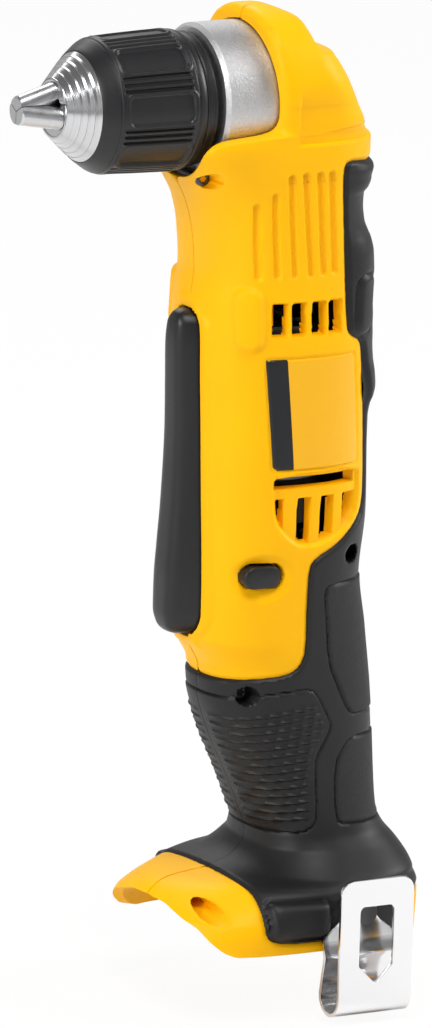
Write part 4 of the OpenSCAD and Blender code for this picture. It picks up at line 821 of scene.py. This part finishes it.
pad = boxDistance(gridX, padS, (padRear + padFront) / 2, 0, (padFront - padRear) / 2, sleeve["padHalf"],
                  sleeve["padRound"])
cut = sleeve["padDeep"] * smoothStep(0.25, -0.45, pad)
cut -= sleeve["padRim"] * smoothStep(0.9, 0.3, np.abs(pad - sleeve["padRimAt"]))
for s in sleeve["grooves"]:
    groove = lineDistance(gridX, grooveS, (grooveRear, s), (grooveFront, s), sleeve["grooveHalf"])
    cut += sleeve["grooveDeep"] * smoothStep(0.25, -0.3, groove)
for at, deep, wide in sleeve["lines"]:
    cut += deep * smoothStep(wide, 0.1, np.abs(gridX - at))
r = profileR[:, None] - cut
barrel = np.stack([gridX, r * np.sin(phi), r * np.cos(phi)], -1)
barrel = np.concatenate([barrel, lathe(sleeve["inside"], sleeve["steps"]), barrel[:1]], 0)
makePiece("chuckSleeve", [dict(points=barrel, around=True, flip=True)], "sleeve_plastic", "sleeve",
          ["chuck_sleeve"], sharp=45)

# turned nose: five bright bands, each a short cone that ends in a small step
nose = dict(face=77.62, back=69.35, faceR=9.0, backR=16.75, bands=5, step=0.75, rows=301, steps=160,
            rim=[(77.62, 8.5), (77.68, 8.8)])
share = np.linspace(0, 1, nose["rows"])
noseR = nose["faceR"] + (nose["backR"] - nose["faceR"]) * share
noseR = noseR + nose["step"] * (0.5 - (share * nose["bands"] % 1)) * (share > 0) * (share < 1)
noseX = nose["face"] - (nose["face"] - nose["back"]) * share
noseLine = np.concatenate([nose["rim"], np.stack([noseX, noseR], 1)])
makePiece("noseRings", [dict(points=lathe(noseLine, nose["steps"]), around=True)], "chuck_steel", "spindle",
          sharp=24)

# ring behind the sleeve: a band, its edges rounded by a power of the width, with one fine line turned in it
ring = dict(front=34.8, back=31.2, radius=20.75, inside=17.2, edge=0.9, edgePower=6, lineAt=0.62,
            lineDeep=0.35, rows=60, steps=160)
ringX = np.linspace(ring["front"], ring["back"], ring["rows"])
share = (ring["front"] - ringX) / (ring["front"] - ring["back"])
ringR = ring["radius"] - ring["edge"] * np.abs(2 * share - 1) ** ring["edgePower"]
ringR = ringR - ring["lineDeep"] * smoothStep(0.09, 0.02, np.abs(share - ring["lineAt"]))
ringLine = np.concatenate([[[ring["front"], ring["inside"]]], np.stack([ringX, ringR], 1),
                           [[ring["back"], ring["inside"]]]])
makePiece("backRing", [dict(points=lathe(ringLine, ring["steps"]), around=True)], "sleeve_plastic", "spindle",
          sharp=40)


# belt hook: a strip carried along its bent path, with a window pointed at its foot

hook = dict(centre=-15.3, half=12.8, tab=6.0, thick=1.25, inner=39.9, outer=51.1, start=-245.4, top=-238.2,
            low=-281.6, corner=4.5, taper=(-252, -260), ease=0.3, easeAngle=50, legRows=40, bendRows=22,
            plateRows=120, columns=14, slit=0.02,
            # inner leg's bow: share of its length, distance out
            bow=[(0, 0), (.3, 0), (.5, .9), (.62, 2.4), (.8, 1.2), (1, 0)],
            # window: half width, top, corner, where its sides turn in, how far they do, and its point
            windowHalf=6.0, windowTop=-246.6, windowRound=2.0, windowTurn=-265.6, windowIn=5.3,
            windowFoot=-270.8)
bend = (hook["outer"] - hook["inner"]) / 2
bendZ = hook["low"] + bend
arc = np.linspace(np.pi, 2 * np.pi, hook["bendRows"])
bow = np.interp(np.linspace(0, 1, hook["legRows"]), *np.array(hook["bow"]).T)
path = np.concatenate([
    np.stack([bow + hook["inner"], np.linspace(hook["start"], bendZ, hook["legRows"])], 1)[:-1],
    np.stack([hook["inner"] + bend + bend * np.cos(arc), bendZ + bend * np.sin(arc)], 1),
    np.stack([np.full(hook["plateRows"], hook["outer"]),
              np.linspace(bendZ, hook["top"], hook["plateRows"] + 1)[1:]], 1)])
pz = path[:, 1]
plate = np.arange(len(path)) >= hook["legRows"] - 1 + hook["bendRows"]
leg = hook["tab"] + (hook["half"] - hook["tab"]) * smoothStep(*hook["taper"], pz)
corner = np.where(plate, np.maximum(pz - (hook["top"] - hook["corner"]), 0), 0)
roundBy = hook["corner"] - np.sqrt(np.maximum(hook["corner"] ** 2 - corner ** 2, 0))
wide = np.where(plate, hook["half"], leg) - np.where(corner > 0, roundBy, 0)
# window: straight top with round corners, sides parallel, then drawn in to a point
turned = (hook["windowTurn"] - pz) / (hook["windowTurn"] - hook["windowFoot"])
gap = hook["windowHalf"] - hook["windowIn"] * np.clip(turned, 0, 1)
above = np.maximum(pz - (hook["windowTop"] - hook["windowRound"]), 0)
gap = gap - (hook["windowRound"] - np.sqrt(np.maximum(hook["windowRound"] ** 2 - above ** 2, 0)))
window = plate & (pz > hook["windowFoot"]) & (pz < hook["windowTop"])
gap = np.where(window, np.maximum(gap, hook["slit"]), hook["slit"])[:, None]
band = (wide[:, None] - gap) * np.linspace(0, 1, hook["columns"])
across = np.concatenate([-wide[:, None] + band, gap + band], 1)
strip = np.stack([hook["centre"] + across, path[:, :1] + 0 * across, pz[:, None] + 0 * across], -1)
opened = plate & (pz > hook["windowFoot"] - 0.6) & (pz < hook["windowTop"] + 0.2)
keep = np.ones((len(path) - 1, 2 * hook["columns"] - 1), bool)
keep[:, hook["columns"] - 1] = ~(opened[:-1] & opened[1:])
hookPiece = makePiece("beltHook", [dict(points=strip, keep=keep)], "hook_chrome", "body", ["belt_hook"],
                      sharp=40)
thick = hookPiece.modifiers.new("thick", "SOLIDIFY")
thick.thickness, thick.offset = hook["thick"] / 1000, 0
ease = hookPiece.modifiers.new("ease", "BEVEL")
ease.width, ease.segments = hook["ease"] / 1000, 2
ease.limit_method, ease.angle_limit = "ANGLE", math.radians(hook["easeAngle"])
print("pieces made")


# stage, light and camera, in metres

studio = dict(camera=(1.85638, 3.39575, 0.76859), target=(-0.05642, 0.0, -0.13145), lens=455.5, roll=1.654,
              sensor=36.0, farEnd=20, floor=-0.2846, floorHalf=6.0, floorWhite=0.93,
              # even light, and what shines back: from the horizon up to the ceiling
              ambient=0.17, horizon=0.55, ceiling=0.2, horizonAt=0.1, ceilingAt=0.5,
              # place, size, power, aim
              lamps=[((0.3, 0.9, 1.9), 1.0, 29, (-0.06, 0, -0.1)), ((1.6, 0.2, 0.6), 0.7, 17, (0, 0, -0.1)),
                     ((-1.5, 0.5, 0.7), 0.7, 19, (-0.08, 0, -0.15)),
                     ((-0.3, -1.4, 1.2), 1.2, 12, (-0.07, 0, -0.1))])
scene = bpy.context.scene
scene.view_settings.view_transform = "Standard"


def place(name, data, spot, aim, roll=0.0):
    # a lamp or camera at a spot, turned to look at its aim
    thing = bpy.data.objects.new(name, data)
    scene.collection.objects.link(thing)
    thing.location = spot
    thing.rotation_mode = "QUATERNION"
    look = (Vector(aim) - Vector(spot)).to_track_quat("-Z", "Y")
    thing.rotation_quaternion = look @ Quaternion((0, 0, 1), math.radians(roll))
    return thing


eye = bpy.data.cameras.new("camera")
eye.lens, eye.sensor_width, eye.clip_end = studio["lens"], studio["sensor"], studio["farEnd"]
scene.camera = place("camera", eye, studio["camera"], studio["target"], studio["roll"])
for k, (spot, across, power, aim) in enumerate(studio["lamps"]):
    lamp = place("softbox%d" % k, bpy.data.lights.new("softbox%d" % k, "AREA"), spot, aim)
    lamp.data.energy, lamp.data.size = power, across

# white to the camera, a soft ceiling to shiny faces, an even light to the rest
scene.world = bpy.data.worlds.new("studio")
scene.world.use_nodes = True
sky = NodeTree(scene.world.node_tree)
camera, clear, glossy = (sky.node("ShaderNodeLightPath", out="Is %s Ray" % kind)
                         for kind in ("Camera", "Transmission", "Glossy"))
seen = sky.node("ShaderNodeMath", {"operation": "MAXIMUM"}, {0: camera, 1: clear})
way = sky.node("ShaderNodeTexCoord", out="Generated")
height = sky.node("ShaderNodeSeparateXYZ", None, {0: way}, out="Z")
ceiling = sky.node("ShaderNodeMapRange", {"interpolation_type": "SMOOTHSTEP"},
                   {"Value": height, "From Min": studio["horizonAt"], "From Max": studio["ceilingAt"],
                    "To Min": studio["horizon"], "To Max": studio["ceiling"]})
shine = sky.node("ShaderNodeMix", {"data_type": "FLOAT"}, {0: glossy, 2: studio["ambient"], 3: ceiling})
level = sky.node("ShaderNodeMix", {"data_type": "FLOAT"}, {0: seen, 2: shine, 3: 1.0})
air = sky.find("BACKGROUND")
air.inputs["Color"].default_value = (1, 1, 1, 1)
sky.link(level, air.inputs["Strength"])

lineX, lineY = np.meshgrid(*[np.linspace(-studio["floorHalf"], studio["floorHalf"], 3)] * 2)
corners = np.stack([lineX, lineY, studio["floor"] + 0 * lineX], -1).reshape(-1, 3)
floorMesh = bpy.data.meshes.new("floor")
floorMesh.from_pydata(corners.tolist(), [], gridQuads(np.arange(9).reshape(3, 3)).reshape(-1, 4).tolist())
floor = bpy.data.objects.new("floor", floorMesh)
scene.collection.objects.link(floor)
ground = Paint("paleFloor", Base_Color=(0.9, 0.9, 0.9, 1), Roughness=0.8)
white = ground.node("ShaderNodeLightPath", out="Is Camera Ray") * studio["floorWhite"]
blend = ground.node("ShaderNodeMixShader", None, {0: white, 1: Wire(ground, ground.shader.outputs[0]),
                                                  2: ground.node("ShaderNodeEmission")})
ground.link(blend, ground.find("OUTPUT_MATERIAL").inputs[0])
floorMesh.materials.append(ground.material)
